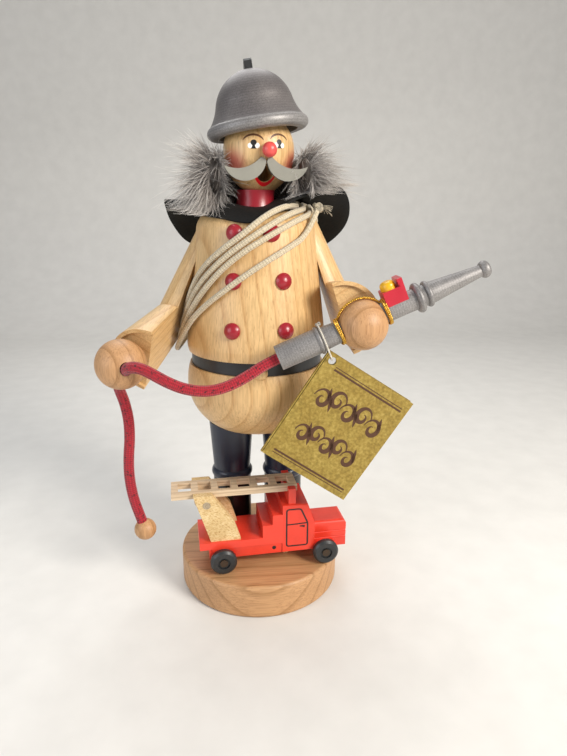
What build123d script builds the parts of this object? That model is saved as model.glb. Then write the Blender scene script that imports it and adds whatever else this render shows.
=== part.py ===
"""Turned wooden incense smoker: a fireman with hose, nozzle and toy fire engine.

Millimetres, +Z up. The origin is the centre of the base's underside, and the figure faces -Y.
The viewer stands in front, so "left" and "right" are the viewer's.
"""
from math import acos, atan2, cos, degrees, hypot, pi, radians, sin, sqrt, tan
import os

from build123d import *

os.makedirs("parts", exist_ok=True)

# Shared clearances and the one overrun of all cuts
glue_gap = 0.05
lift_gap = 0.2
turn_gap = 0.3
overrun = 1.0

# Base disc and the axis that the figure is turned about
base_radius = 36.5
base_height = 15.4
base_edge = 1.4
figure_y = 12.0

# Legs
leg_spacing = 24.4
leg_top_radius = 10.2
leg_knee_radius = 8.6
boot_radius = 8.9
boot_height = 30.1
boot_ring_radius = 9.7
boot_ring_height = 4.4
leg_length = 57.6
tenon_radius = 3.0
tenon_length = 8.0

# Lower body with its spigot, belt and buckle
skirt_height = 29.1
skirt_widest_height = 21.0
skirt_radius = 31.3
skirt_foot_radius = 19.6
skirt_rim_radius = 30.0
skirt_bulge_share = 0.42
belt_height = 5.7
belt_radius = 29.1
belt_seat_radius = 27.0
buckle_radius = 2.9
spigot_radius = 20.0
spigot_height = 6.0
air_hole_radius = 3.0
air_hole_reach = 14.0

# Incense dish and its nail
dish_radius = 10.0
dish_depth = 2.2
dish_wall = 0.6
nail_head_radius = 1.8
nail_head_height = 0.7
nail_radius = 0.7
nail_length = 7.0

# Jacket, its buttons and the smoke way
jacket_height = 59.3
jacket_hem_radius = 30.4
jacket_radius = 30.9
jacket_hem_height = 4.0
jacket_shoulder_height = 51.0
jacket_shoulder_radius = 25.3
jacket_top_radius = 16.5
shoulder_bulge_share = 0.72
chamber_height = 38.0
smoke_radius = 4.0
button_radius = 3.35
button_height = 2.5
button_edge = 0.7
button_peg_radius = 1.0
button_peg_length = 2.5
button_rows = (13.0, 32.5, 51.0)
button_angles = (-22.0, 20.0)
top_button_angle = 11.0

# Neck ring and head
neck_height = 8.1
neck_foot_radius = 8.7
neck_top_radius = 8.0
neck_waist_radius = 7.5
neck_waist_share = 0.55
head_shift = 1.5
head_radius = 14.6
head_centre_height = 15.6
chin_radius = 6.4
cheek_radius = 12.5
cheek_height = 6.4
head_yaw = 8.0
mouth_radius = 3.3
mouth_height = 6.3
lip_radius = 4.1
nose_radius = 2.9
nose_height = 14.6
nose_offset = 0.9
nose_sink = 0.7

# Moustache
moustache_length = 16.4
moustache_drop = 8.8
moustache_thickness = 2.2
moustache_gap = 0.35
moustache_height = 11.9

# Helmet and comb
helmet_radius = 20.9
helmet_mouth_radius = 17.6
helmet_rim_height = 4.4
helmet_crease_radius = 19.5
helmet_waist_radius = 15.5
helmet_waist_height = 12.6
helmet_flare = 0.6
helmet_height = 24.2
helmet_lift = 21.8
helmet_roll = 8.9
helmet_pitch = 1.5
helmet_hollow_share = 0.7
comb_width = 3.2
comb_height = 4.0
comb_depth = 15.0
comb_edge = 0.8
comb_foot_share = 0.8
comb_bend_shares = (0.72, 0.94)
comb_end_share = 0.72

# Leather neck guard
guard_thickness = 1.0
guard_reach = 40.0

# Fur strip
fur_inner_gap = 0.4
fur_reach = 17.0
fur_height = 23.0
fur_foot = 3.4
fur_turn = 236.0

# Arms: half-round turned pieces, flat on the inside
shoulder_radius = 5.7
elbow_radius = 11.0
cuff_radius = 15.2
forearm_length = 32.0
cuff_recess = 1.4
cuff_wall = 1.6
hand_radius = 9.8
wrist_radius = 1.8
wrist_length = 9.0

# Nozzle, along its own axis from the rear end
nozzle_length = 87.6
nozzle_rise = 23.0
nozzle_rear_radius = 5.0
nozzle_grip_radius = 4.7
nozzle_barrel_radius = 4.2
nozzle_ring_place = 17.2
nozzle_ring_width = 1.8
nozzle_ring_radius = 5.6
nozzle_grip_end = 26.0
collar_place = 58.4
collar_width = 2.6
collar_radius = 6.0
second_collar_place = 62.2
second_collar_width = 2.2
second_collar_radius = 5.2
taper_radius = 4.3
tip_radius = 2.3
tip_ring_radius = 3.4
tip_ring_width = 3.6
tip_bore_radius = 1.3
tip_bore_depth = 8.0

# Valve block and its knob
valve_length = 8.6
valve_width = 7.4
valve_height = 7.0
valve_lug_height = 2.6
valve_lug_length = 2.0
valve_place = 49.8
valve_foot_share = 0.3
knob_radius = 3.5
knob_thickness = 3.1
knob_sink = 0.4
knob_round_share = 0.6

# Hose
hose_radius = 2.2
hose_socket_depth = 4.0
hose_gap = 0.15
hose_arc_share = 0.45
bead_radius = 4.7
bead_bore_depth = 4.0

# Rope
rope_radius = 1.15
rope_turns = 4
rope_clear = 0.55
knot_radius = 2.9

# Tag, its cord and the gold band
tag_width = 40.0
tag_height = 49.0
tag_leaf = 0.45
tag_leaf_gap = 0.5
tag_turn = 33.0
tag_hole_radius = 1.6
tag_hole_inset = 3.0
tag_open_angle = 4.0
tag_cord_radius = 0.35
band_radius = 0.55

# Fire engine, in its own directions: along it, across it and up
engine_yaw = 5.0
engine_start = (-16.8, -26.9)
wheel_radius = 5.7
wheel_thickness = 3.6
wheelbase = 45.4
engine_width = 28.8
wheel_recess_radius = 2.7
wheel_recess_depth = 0.7
wheel_edge = 0.9
axle_radius = 0.8
axle_head_radius = 1.7
axle_head_height = 0.5
body_width = 20.8
bed_length = 36.3
bed_overhang = 10.0
bed_thickness = 3.3
bed_lift = 10.9
chassis_height = 5.0
chassis_inset = 0.6
chassis_rear = 5.9
axle_block_length = 9.0
step_length = 4.4
lower_step_height = 6.0
upper_step_height = 10.6
cab_length = 14.5
cab_height = 22.7
cab_sink = 4.6
roof_length = 11.3
windscreen_height = 9.5
cab_edge = 1.6
bonnet_length = 15.5
bonnet_width = 13.8
bonnet_height = 12.8
bonnet_sink = 6.3
bonnet_edge = 1.8
groove_radius = 0.45
groove_rise = (4.6, 7.6)
rest_length = 3.2
rest_height = 7.3
rest_thickness = 3.0
rest_start = 2.8
bracket_thickness = 3.2
bracket_foot = 13.0
bracket_height = 22.1
bracket_top = 7.8
bracket_lean = 6.9
bracket_waist_share = 0.42
bracket_bend_share = 0.78
bracket_place = 5.0
ladder_length = 54.5
ladder_width = 12.0
ladder_thickness = 2.8
ladder_rail = 2.2
ladder_rung = 3.0
ladder_pitch = 8.6
ladder_rise = 22.9
ladder_rear = 11.0
pivot_place = 3.6
pivot_rise = 17.6
pivot_radius = 1.65
pivot_gap = 0.1
pivot_block_radius = 5.0
pivot_block_width = 8.0
engine_dowel_radius = 2.0


def body_plane(height):
    """The horizontal plane at a height above the table, centred on the figure's axis."""
    return Plane(origin=(0, figure_y, height))


def turning_plane(centre_x, centre_y, height):
    """The upright plane in which a turned piece's half outline is drawn."""
    return Plane(origin=(centre_x, centre_y, height), x_dir=(1, 0, 0), z_dir=(0, -1, 0))


def save(piece, label):
    """Name a finished piece and write it."""
    piece.part.label = label
    export_step(piece.part, f"parts/{label}.step")


def around(angle, reach, height):
    """A point at an angle from straight ahead, plus towards the viewer's right."""
    turn = radians(angle)
    return Vector(reach * sin(turn), figure_y - reach * cos(turn), height)


# Heights that stack up from the table
skirt_foot = base_height + leg_length
skirt_top = skirt_foot + skirt_height
belt_top = skirt_top + belt_height
jacket_foot = belt_top + lift_gap
jacket_top = jacket_foot + jacket_height
neck_top = jacket_top + neck_height
head_centre = neck_top + head_centre_height


# Base
with BuildPart() as base_disc:
    with BuildSketch():
        Circle(base_radius)
    extrude(amount=base_height)
    fillet(base_disc.edges().filter_by(GeomType.CIRCLE), base_edge)
    with BuildSketch(body_plane(base_height)):
        with GridLocations(leg_spacing, 0, 2, 1):
            Circle(tenon_radius + glue_gap)
    extrude(amount=-tenon_length, mode=Mode.SUBTRACT)


# Legs: trousers, ring and boot in one turned piece each
def make_leg(side, label):
    leg_x = side * leg_spacing / 2
    with BuildPart() as leg:
        with BuildSketch(turning_plane(leg_x, figure_y, base_height)):
            with BuildLine():
                Polyline(
                    (0, -tenon_length),
                    (tenon_radius, -tenon_length),
                    (tenon_radius, 0),
                    (boot_radius, 0),
                    (boot_radius, boot_height),
                )
                ThreePointArc(
                    (boot_radius, boot_height),
                    (boot_ring_radius, boot_height + boot_ring_height / 2),
                    (leg_knee_radius, boot_height + boot_ring_height),
                )
                Polyline(
                    (leg_knee_radius, boot_height + boot_ring_height),
                    (leg_top_radius, leg_length),
                    (tenon_radius, leg_length),
                    (tenon_radius, leg_length + tenon_length),
                    (0, leg_length + tenon_length),
                    (0, -tenon_length),
                )
            make_face()
        revolve(axis=Axis((leg_x, figure_y, 0), (0, 0, 1)))
    save(leg, label)
    return leg


for side, label in ((-1, "leg_left"), (1, "leg_right")):
    make_leg(side, label)


# Lower body: a turned bowl with the belt's seat, the spigot and the air hole
with BuildPart() as skirt:
    with BuildSketch(turning_plane(0, figure_y, skirt_foot)):
        with BuildLine():
            Line((0, 0), (skirt_foot_radius, 0))
            ThreePointArc(
                (skirt_foot_radius, 0),
                ((skirt_foot_radius + 3 * skirt_radius) / 4, skirt_widest_height * skirt_bulge_share),
                (skirt_radius, skirt_widest_height),
            )
            ThreePointArc(
                (skirt_radius, skirt_widest_height),
                ((skirt_radius * 3 + skirt_rim_radius) / 4, (skirt_widest_height + skirt_height) / 2),
                (skirt_rim_radius, skirt_height),
            )
            Polyline(
                (skirt_rim_radius, skirt_height),
                (belt_seat_radius, skirt_height),
                (belt_seat_radius, skirt_height + belt_height),
                (spigot_radius, skirt_height + belt_height),
                (spigot_radius, skirt_height + belt_height + spigot_height),
                (dish_radius + glue_gap, skirt_height + belt_height + spigot_height),
                (dish_radius + glue_gap, skirt_height + belt_height + spigot_height - dish_depth),
                (0, skirt_height + belt_height + spigot_height - dish_depth),
                (0, 0),
            )
        make_face()
    revolve(axis=Axis((0, figure_y, 0), (0, 0, 1)))
    with BuildSketch(body_plane(skirt_foot)):
        with GridLocations(leg_spacing, 0, 2, 1):
            Circle(tenon_radius + glue_gap)
    extrude(amount=tenon_length, mode=Mode.SUBTRACT)
    with BuildSketch(body_plane(skirt_foot - overrun)):
        with Locations((0, air_hole_reach)):
            Circle(air_hole_radius)
    extrude(amount=skirt_height + belt_height + spigot_height + 2 * overrun, mode=Mode.SUBTRACT)
    with BuildSketch(body_plane(belt_top + spigot_height - dish_depth)):
        Circle(nail_radius + glue_gap)
    extrude(amount=-nail_length, mode=Mode.SUBTRACT)

with BuildPart() as belt:
    with BuildSketch(body_plane(skirt_top)):
        Circle(belt_radius)
        Circle(belt_seat_radius + glue_gap, mode=Mode.SUBTRACT)
    extrude(amount=belt_height)

with BuildPart() as belt_buckle:
    with Locations(around(0, belt_radius, skirt_top + belt_height / 4)):
        Sphere(buckle_radius)
    add(belt.part, mode=Mode.SUBTRACT)
    add(skirt.part, mode=Mode.SUBTRACT)
    with BuildSketch(body_plane(skirt_foot)):
        Circle(belt_seat_radius + 2 * glue_gap)
    extrude(amount=skirt_height + belt_height, mode=Mode.SUBTRACT)


# Incense dish pressed from sheet brass, and the nail that holds it
dish_floor = belt_top + spigot_height - dish_depth
with BuildPart() as incense_dish:
    with BuildSketch(turning_plane(0, figure_y, dish_floor)):
        with BuildLine():
            Polyline(
                (nail_radius + glue_gap, 0),
                (dish_radius, 0),
                (dish_radius, dish_depth),
                (dish_radius - dish_wall, dish_depth),
                (dish_radius - dish_wall, dish_wall),
                (nail_radius + glue_gap, dish_wall),
                close=True,
            )
        make_face()
    revolve(axis=Axis((0, figure_y, 0), (0, 0, 1)))

with BuildPart() as dish_nail:
    with BuildSketch(turning_plane(0, figure_y, dish_floor)):
        with BuildLine():
            Polyline(
                (0, dish_wall + nail_head_height),
                (0, -nail_length),
                (nail_radius, -nail_length),
                (nail_radius, dish_wall),
                (nail_head_radius, dish_wall),
            )
            Polyline(
                (nail_head_radius, dish_wall),
                (nail_head_radius, dish_wall + nail_head_height / 2),
                (nail_radius, dish_wall + nail_head_height),
                (0, dish_wall + nail_head_height),
            )
        make_face()
    revolve(axis=Axis((0, figure_y, 0), (0, 0, 1)))


# Jacket: the hollow upper body, open below and bored through to the neck
def skin(height):
    """Radius and outward slope of the jacket at a height above its hem."""
    if height <= jacket_shoulder_height:
        run = jacket_shoulder_height - jacket_hem_height
        drop = (jacket_radius - jacket_shoulder_radius) / run
        return jacket_radius - drop * (height - jacket_hem_height), drop
    share = (height - jacket_shoulder_height) / (jacket_height - jacket_shoulder_height)
    bend = sqrt(max(1 - share * share, 0))
    reach = jacket_top_radius + (jacket_shoulder_radius - jacket_top_radius) * bend
    return reach, 2 * share


chamber_radius = spigot_radius + turn_gap
with BuildPart() as jacket:
    shoulder_bulge = (
        jacket_top_radius + (jacket_shoulder_radius - jacket_top_radius) * shoulder_bulge_share,
        jacket_shoulder_height + (jacket_height - jacket_shoulder_height) * shoulder_bulge_share,
    )
    with BuildSketch(turning_plane(0, figure_y, jacket_foot)):
        with BuildLine():
            Line((chamber_radius, 0), (jacket_hem_radius, 0))
            ThreePointArc(
                (jacket_hem_radius, 0),
                (jacket_radius - (jacket_radius - jacket_hem_radius) / 5, jacket_hem_height / 2),
                (jacket_radius, jacket_hem_height),
            )
            Line((jacket_radius, jacket_hem_height), (jacket_shoulder_radius, jacket_shoulder_height))
            ThreePointArc(
                (jacket_shoulder_radius, jacket_shoulder_height),
                shoulder_bulge,
                (jacket_top_radius, jacket_height),
            )
            Polyline(
                (jacket_top_radius, jacket_height),
                (smoke_radius, jacket_height),
                (smoke_radius, chamber_height + chamber_radius / 2),
                (chamber_radius, chamber_height),
                (chamber_radius, 0),
            )
        make_face()
    revolve(axis=Axis((0, figure_y, 0), (0, 0, 1)))


# Buttons: six domed heads on pegs, fanned round the jacket's front
def button_plane(angle, height):
    reach, slope = skin(height)
    turn = radians(angle)
    outward = Vector(sin(turn), -cos(turn), slope)
    return Plane(origin=around(angle, reach, jacket_foot + height), z_dir=outward)


button_places = [(angle, row) for row in button_rows[:2] for angle in button_angles]
button_places += [(button_angles[0], button_rows[2]), (top_button_angle, button_rows[2])]
with BuildPart() as buttons:
    for angle, row in button_places:
        seat = button_plane(angle, row)
        with BuildSketch(seat.offset(-button_peg_length)):
            Circle(button_peg_radius)
        extrude(amount=button_peg_length + button_edge)
        rim = Plane(origin=seat.origin, x_dir=seat.x_dir, z_dir=-seat.y_dir)
        with BuildSketch(rim):
            with BuildLine():
                Polyline((0, button_height), (0, 0), (button_radius, 0), (button_radius, button_edge))
                TangentArc((0, button_height), (button_radius, button_edge), tangent=(1, 0))
            make_face()
        revolve(axis=Axis(seat.origin, seat.z_dir))

with BuildPart(mode=Mode.PRIVATE) as button_bores:
    for angle, row in button_places:
        with BuildSketch(button_plane(angle, row).offset(-button_peg_length)):
            Circle(button_peg_radius + glue_gap)
        extrude(amount=button_peg_length + overrun)
with jacket:
    add(button_bores.part, mode=Mode.SUBTRACT)
with buttons:
    add(jacket.part, mode=Mode.SUBTRACT)

# Neck ring
with BuildPart() as neck_ring:
    with BuildSketch(turning_plane(0, figure_y, jacket_top)):
        with BuildLine():
            Line((smoke_radius, 0), (neck_foot_radius, 0))
            ThreePointArc(
                (neck_foot_radius, 0),
                (
                    neck_waist_radius + (neck_foot_radius - neck_waist_radius) / 3,
                    neck_height * neck_waist_share,
                ),
                (neck_top_radius, neck_height),
            )
            Polyline((neck_top_radius, neck_height), (smoke_radius, neck_height), (smoke_radius, 0))
        make_face()
    revolve(axis=Axis((0, figure_y, 0), (0, 0, 1)))


# Head: turned with its chin, bored for the smoke and opened at the mouth
face_turn = radians(head_yaw)
face_out = Vector(sin(face_turn), -cos(face_turn), 0)
face_side = Vector(cos(face_turn), sin(face_turn), 0)


def face_plane(reach, height):
    """An upright plane in front of the face, at a reach from the head's axis."""
    middle = Vector(head_shift, figure_y, neck_top + height) + face_out * reach
    return Plane(origin=middle, x_dir=face_side, z_dir=face_out)


with BuildPart() as head:
    with BuildSketch(turning_plane(head_shift, figure_y, neck_top)):
        with BuildLine():
            Line((smoke_radius, 0), (chin_radius, 0))
            ThreePointArc(
                (chin_radius, 0), (cheek_radius, cheek_height), (head_radius, head_centre_height)
            )
            CenterArc((0, head_centre_height), head_radius, 0, 90)
            Polyline(
                (0, head_centre_height + head_radius),
                (0, mouth_height + smoke_radius),
                (smoke_radius, mouth_height + smoke_radius),
                (smoke_radius, 0),
            )
        make_face()
    revolve(axis=Axis((head_shift, figure_y, 0), (0, 0, 1)))
    with BuildSketch(face_plane(0, mouth_height)):
        Circle(mouth_radius)
    extrude(amount=head_radius + overrun, mode=Mode.SUBTRACT)
    with Locations(face_plane(cheek_radius, mouth_height)):
        Cone(mouth_radius - overrun / 2, lip_radius + overrun / 2, 2 * overrun, mode=Mode.SUBTRACT)

with BuildPart() as nose:
    with Locations(face_plane(head_radius + nose_radius - nose_sink, nose_height)):
        with Locations((nose_offset, 0)):
            Sphere(nose_radius)
    add(head.part, mode=Mode.SUBTRACT)


# Moustache: two flat comma-shaped halves
moustache_shares = {
    "root_low": (0.0, -0.27),
    "root": (0.02, -0.06),
    "root_top": (0.12, 0.0),
    "hollow": (0.5, -0.43),
    "tip": (1.0, -0.37),
    "belly": (0.46, -1.0),
}


def make_moustache(side, label):
    def spot(name):
        along, up = moustache_shares[name]
        return side * (moustache_gap + along * moustache_length), up * moustache_drop

    back = head_radius - moustache_thickness / 2
    with BuildPart() as half:
        with BuildSketch(face_plane(back, moustache_height)):
            with BuildLine():
                ThreePointArc(spot("root_low"), spot("root"), spot("root_top"))
                ThreePointArc(spot("root_top"), spot("hollow"), spot("tip"))
                ThreePointArc(spot("tip"), spot("belly"), spot("root_low"))
            make_face()
        extrude(amount=moustache_thickness)
        add(head.part, mode=Mode.SUBTRACT)
    save(half, label)


make_moustache(-1, "moustache_left")
make_moustache(1, "moustache_right")


# Helmet, set askew, and its comb
roll = radians(helmet_roll)
pitch = radians(helmet_pitch)
helmet_frame = Plane(
    origin=(head_shift, figure_y, neck_top + helmet_lift),
    x_dir=(cos(roll), 0, sin(roll)),
    z_dir=(-sin(roll) * cos(pitch), sin(pitch), cos(roll) * cos(pitch)),
)
helmet_side = Plane(origin=helmet_frame.origin, x_dir=helmet_frame.x_dir, z_dir=-helmet_frame.y_dir)
with BuildPart() as helmet:
    with BuildSketch(helmet_side):
        with BuildLine():
            Line((0, 0), (helmet_mouth_radius, 0))
            ThreePointArc(
                (helmet_mouth_radius, 0),
                (helmet_radius, helmet_rim_height / 2),
                (helmet_crease_radius, helmet_rim_height),
            )
            ThreePointArc(
                (helmet_crease_radius, helmet_rim_height),
                (
                    (helmet_crease_radius + helmet_waist_radius) / 2 - helmet_flare,
                    (helmet_rim_height + helmet_waist_height) / 2,
                ),
                (helmet_waist_radius, helmet_waist_height),
            )
            TangentArc((0, helmet_height), (helmet_waist_radius, helmet_waist_height), tangent=(1, 0))
            Line((0, helmet_height), (0, 0))
        make_face()
    revolve(axis=Axis(helmet_frame.origin, helmet_frame.z_dir))
    with BuildSketch(helmet_frame):
        Circle(helmet_mouth_radius - helmet_rim_height / 3)
    extrude(amount=helmet_rim_height * helmet_hollow_share, mode=Mode.SUBTRACT)
    with Locations((head_shift, figure_y, head_centre)):
        Sphere(head_radius + glue_gap, mode=Mode.SUBTRACT)

with BuildPart() as helmet_comb:
    comb_side = Plane(origin=helmet_frame.origin, x_dir=helmet_frame.y_dir, z_dir=helmet_frame.x_dir)
    comb_top = helmet_height + comb_height
    with BuildSketch(comb_side.offset(-comb_width / 2)):
        with BuildLine():
            Polyline(
                (comb_depth * comb_foot_share, helmet_waist_height),
                (0, helmet_waist_height),
                (-comb_edge, comb_top - comb_edge),
                (0, comb_top),
                (comb_edge, comb_top),
            )
            ThreePointArc(
                (comb_edge, comb_top),
                (comb_depth * comb_bend_shares[0], helmet_height * comb_bend_shares[1]),
                (comb_depth, helmet_height * comb_end_share),
            )
            Line(
                (comb_depth, helmet_height * comb_end_share),
                (comb_depth * comb_foot_share, helmet_waist_height),
            )
        make_face()
    extrude(amount=comb_width)
    add(helmet.part, mode=Mode.SUBTRACT)
    with Locations((head_shift, figure_y, head_centre)):
        Sphere(head_radius + 2 * glue_gap, mode=Mode.SUBTRACT)


# Arms: each is two turned cones split lengthwise, mitred at the elbow
arm_lean = 19.0
upper_length = 38.0
shoulder_reach = 20.4
arms = {
    "right": {"side": 1, "rise": 54.0, "swing": 0.0, "drop": 0.0, "tilt": 0.0, "out": 5.5, "down": 2.5},
    "left": {"side": -1, "rise": 48.0, "swing": 15.0, "drop": 21.0, "tilt": 8.0, "out": 7.2, "down": -1.8},
}
hand_reach = forearm_length - cuff_recess + hand_radius + glue_gap


def arm_frame(arm):
    """Shoulder, elbow and hand points, and the arm's directions."""
    lean, swing = radians(arm_lean), radians(arm["swing"])
    drop, tilt = radians(arm["drop"]), radians(arm["tilt"])
    flat = Vector(-arm["side"] * cos(lean) * cos(swing), -cos(lean) * sin(swing), -sin(lean))
    ahead = Vector(arm["side"] * sin(swing), -cos(swing), 0)
    down = Vector(arm["side"] * sin(lean) * cos(swing), sin(lean) * sin(swing), -cos(lean))
    upper = down * cos(tilt) + ahead * sin(tilt)
    fore = ahead * cos(drop) + down * sin(drop)
    under = down * cos(drop) - ahead * sin(drop)
    shoulder = Vector(arm["side"] * shoulder_reach, figure_y, jacket_foot + arm["rise"])
    elbow = shoulder + upper * upper_length
    hand = elbow + fore * hand_reach - flat * arm["out"] + under * arm["down"]
    return {
        "flat": flat, "upper": upper, "fore": fore, "shoulder": shoulder, "elbow": elbow, "hand": hand,
        "wrist": hand - fore * (hand_radius + glue_gap),
    }


def flat_plane(start, along, flat):
    """The split face of a half-round piece, with its length along local Y."""
    return Plane(origin=start, x_dir=along.cross(flat), z_dir=flat)


def upper_outline():
    reach = upper_length + elbow_radius
    swell = elbow_radius + (elbow_radius - shoulder_radius) * elbow_radius / upper_length
    ThreePointArc(
        (0, -shoulder_radius),
        (shoulder_radius * sin(pi / 4), -shoulder_radius * cos(pi / 4)),
        (shoulder_radius, 0),
    )
    Polyline((shoulder_radius, 0), (swell, reach), (0, reach), (0, -shoulder_radius))


def fore_outline():
    start = -elbow_radius * 1.5
    pinch = elbow_radius + (cuff_radius - elbow_radius) * start / forearm_length
    Polyline(
        (0, start),
        (pinch, start),
        (cuff_radius, forearm_length),
        (cuff_radius - cuff_wall, forearm_length),
        (cuff_radius - cuff_wall, forearm_length - cuff_recess),
        (0, forearm_length - cuff_recess),
        close=True,
    )


def make_arm(name):
    place = arm_frame(arms[name])
    mitre = Plane(origin=place["elbow"], z_dir=place["upper"] + place["fore"])
    with BuildPart() as upper_arm:
        with BuildSketch(flat_plane(place["shoulder"], place["upper"], place["flat"])):
            with BuildLine():
                upper_outline()
            make_face()
        revolve(axis=Axis(place["shoulder"], place["upper"]), revolution_arc=180)
        split(bisect_by=mitre, keep=Keep.BOTTOM)
        add(jacket.part, mode=Mode.SUBTRACT)
    with BuildPart() as forearm:
        with BuildSketch(flat_plane(place["elbow"], place["fore"], place["flat"])):
            with BuildLine():
                fore_outline()
            make_face()
        revolve(axis=Axis(place["elbow"], place["fore"]), revolution_arc=180)
        split(bisect_by=mitre, keep=Keep.TOP)
        with BuildSketch(Plane(origin=place["wrist"], z_dir=place["fore"])):
            Circle(wrist_radius + glue_gap)
        extrude(amount=-wrist_length / 2, mode=Mode.SUBTRACT)
    save(upper_arm, f"upper_arm_{name}")
    save(forearm, f"forearm_{name}")
    return upper_arm, forearm


upper_arm_left, forearm_left = make_arm("left")
upper_arm_right, forearm_right = make_arm("right")
place_left = arm_frame(arms["left"])
place_right = arm_frame(arms["right"])
wrist_in_hand = wrist_length / 2 - overrun

with BuildPart() as wrist_dowels:
    for place in (place_left, place_right):
        with BuildSketch(Plane(origin=place["wrist"], z_dir=place["fore"])):
            Circle(wrist_radius)
        extrude(amount=wrist_in_hand)
        with BuildSketch(Plane(origin=place["wrist"], z_dir=place["fore"])):
            Circle(wrist_radius)
        extrude(amount=-wrist_length / 2)


# Nozzle: a turned tube with rings, held through the right hand
nozzle_turn = radians(nozzle_rise)
nozzle_along = Vector(cos(nozzle_turn), 0, sin(nozzle_turn))
nozzle_up = Vector(-sin(nozzle_turn), 0, cos(nozzle_turn))
nozzle_hand_place = 35.0
nozzle_lift = 1.2
nozzle_start = place_right["hand"] + nozzle_up * nozzle_lift - nozzle_along * nozzle_hand_place
nozzle_half = Plane(origin=nozzle_start, x_dir=(0, -1, 0), z_dir=nozzle_up)


def ring_outline(place, width, reach, before, after):
    """A bulging turned ring between two plain stretches."""
    ThreePointArc((before, place - width / 2), (reach, place), (after, place + width / 2))


with BuildPart() as nozzle:
    socket = hose_radius + hose_gap
    with BuildSketch(nozzle_half):
        with BuildLine():
            Polyline(
                (0, nozzle_length - tip_bore_depth),
                (0, hose_socket_depth),
                (socket, hose_socket_depth),
                (socket, 0),
                (nozzle_rear_radius, 0),
                (nozzle_rear_radius, nozzle_ring_place - nozzle_ring_width / 2),
            )
            ring_outline(
                nozzle_ring_place, nozzle_ring_width, nozzle_ring_radius, nozzle_rear_radius,
                nozzle_grip_radius,
            )
            Polyline(
                (nozzle_grip_radius, nozzle_ring_place + nozzle_ring_width / 2),
                (nozzle_barrel_radius, nozzle_grip_end),
                (nozzle_barrel_radius, collar_place - collar_width / 2),
            )
            ring_outline(
                collar_place, collar_width, collar_radius, nozzle_barrel_radius, nozzle_barrel_radius
            )
            Line(
                (nozzle_barrel_radius, collar_place + collar_width / 2),
                (nozzle_barrel_radius, second_collar_place - second_collar_width / 2),
            )
            ring_outline(
                second_collar_place, second_collar_width, second_collar_radius, nozzle_barrel_radius,
                taper_radius,
            )
            Line(
                (taper_radius, second_collar_place + second_collar_width / 2),
                (tip_radius, nozzle_length - tip_ring_width),
            )
            ThreePointArc(
                (tip_radius, nozzle_length - tip_ring_width),
                (tip_ring_radius, nozzle_length - tip_ring_width / 2),
                (tip_radius, nozzle_length),
            )
            Polyline(
                (tip_radius, nozzle_length),
                (tip_bore_radius, nozzle_length),
                (tip_bore_radius, nozzle_length - tip_bore_depth),
                (0, nozzle_length - tip_bore_depth),
            )
        make_face()
    revolve(axis=Axis(nozzle_start, nozzle_along))


# Valve: a block saddled on the barrel, with its lug and domed knob
valve_foot = nozzle_barrel_radius * valve_foot_share
valve_side = Plane(origin=nozzle_start, x_dir=nozzle_along, z_dir=(0, -1, 0))
with BuildPart() as valve_block:
    with BuildSketch(valve_side.offset(-valve_width / 2)):
        with BuildLine():
            start = valve_place - valve_length / 2
            end = valve_place + valve_length / 2
            top = valve_foot + valve_height
            Polyline(
                (start, valve_foot),
                (end, valve_foot),
                (end, top + valve_lug_height),
                (end - valve_lug_length, top + valve_lug_height),
                (end - valve_lug_length, top),
                (start, top),
                close=True,
            )
        make_face()
    extrude(amount=valve_width)
    with BuildSketch(valve_side):
        with Locations((valve_place - valve_lug_length / 2, valve_foot + valve_height)):
            Rectangle(2 * knob_radius + 2 * glue_gap, 2 * knob_sink)
    extrude(amount=valve_width, both=True, mode=Mode.SUBTRACT)
    add(nozzle.part, mode=Mode.SUBTRACT)

with BuildPart() as valve_knob:
    knob_middle = (
        nozzle_start
        + nozzle_along * (valve_place - valve_lug_length / 2)
        + nozzle_up * (valve_foot + valve_height - knob_sink)
    )
    with BuildSketch(Plane(origin=knob_middle, x_dir=nozzle_along, z_dir=nozzle_up)):
        Circle(knob_radius - valve_lug_length / 4)
    extrude(amount=knob_thickness)
    fillet(valve_knob.edges().filter_by(GeomType.CIRCLE).sort_by(Axis(knob_middle, nozzle_up))[-1],
           knob_thickness * knob_round_share)


# Hands: balls bored for the nozzle, the hose and their dowels
hose_points = [
    nozzle_start + nozzle_along * hose_socket_depth,
    nozzle_start - nozzle_along * nozzle_rear_radius,
    Vector(-6.2, -31.0, 106.4),
    Vector(-14.3, -33.2, 103.0),
    Vector(-21.8, -34.4, 101.9),
    Vector(-29.7, -35.2, 103.4),
    Vector(-36.0, -35.9, 106.6),
    Vector(-40.6, -36.6, 109.8),
    Vector(-43.6, -36.9, 111.7),
    Vector(-46.2, -36.7, 112.6),
    Vector(-48.7, -35.6, 112.4),
    Vector(-50.5, -33.6, 111.4),
    Vector(-57.2, -17.3, 101.3),
    Vector(-57.3, -14.8, 97.6),
    Vector(-55.8, -14.0, 92.2),
    Vector(-54.5, -14.2, 84.4),
    Vector(-54.7, -14.0, 75.6),
    Vector(-55.9, -14.2, 66.5),
    Vector(-56.2, -13.9, 57.4),
    Vector(-55.2, -14.1, 48.4),
    Vector(-53.2, -14.0, 40.4),
    Vector(-51.2, -14.0, 33.4),
]
hand_bore_start = hose_points[11]
hand_bore_end = hose_points[12]

with BuildPart() as hand_left:
    with Locations(place_left["hand"]):
        Sphere(hand_radius)
    with BuildSketch(Plane(origin=hand_bore_start, z_dir=hand_bore_end - hand_bore_start)):
        Circle(hose_radius + hose_gap)
    extrude(amount=(hand_bore_end - hand_bore_start).length, both=True, mode=Mode.SUBTRACT)
    with BuildSketch(Plane(origin=place_left["wrist"], z_dir=place_left["fore"])):
        Circle(wrist_radius + glue_gap)
    extrude(amount=wrist_in_hand, mode=Mode.SUBTRACT)

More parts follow.
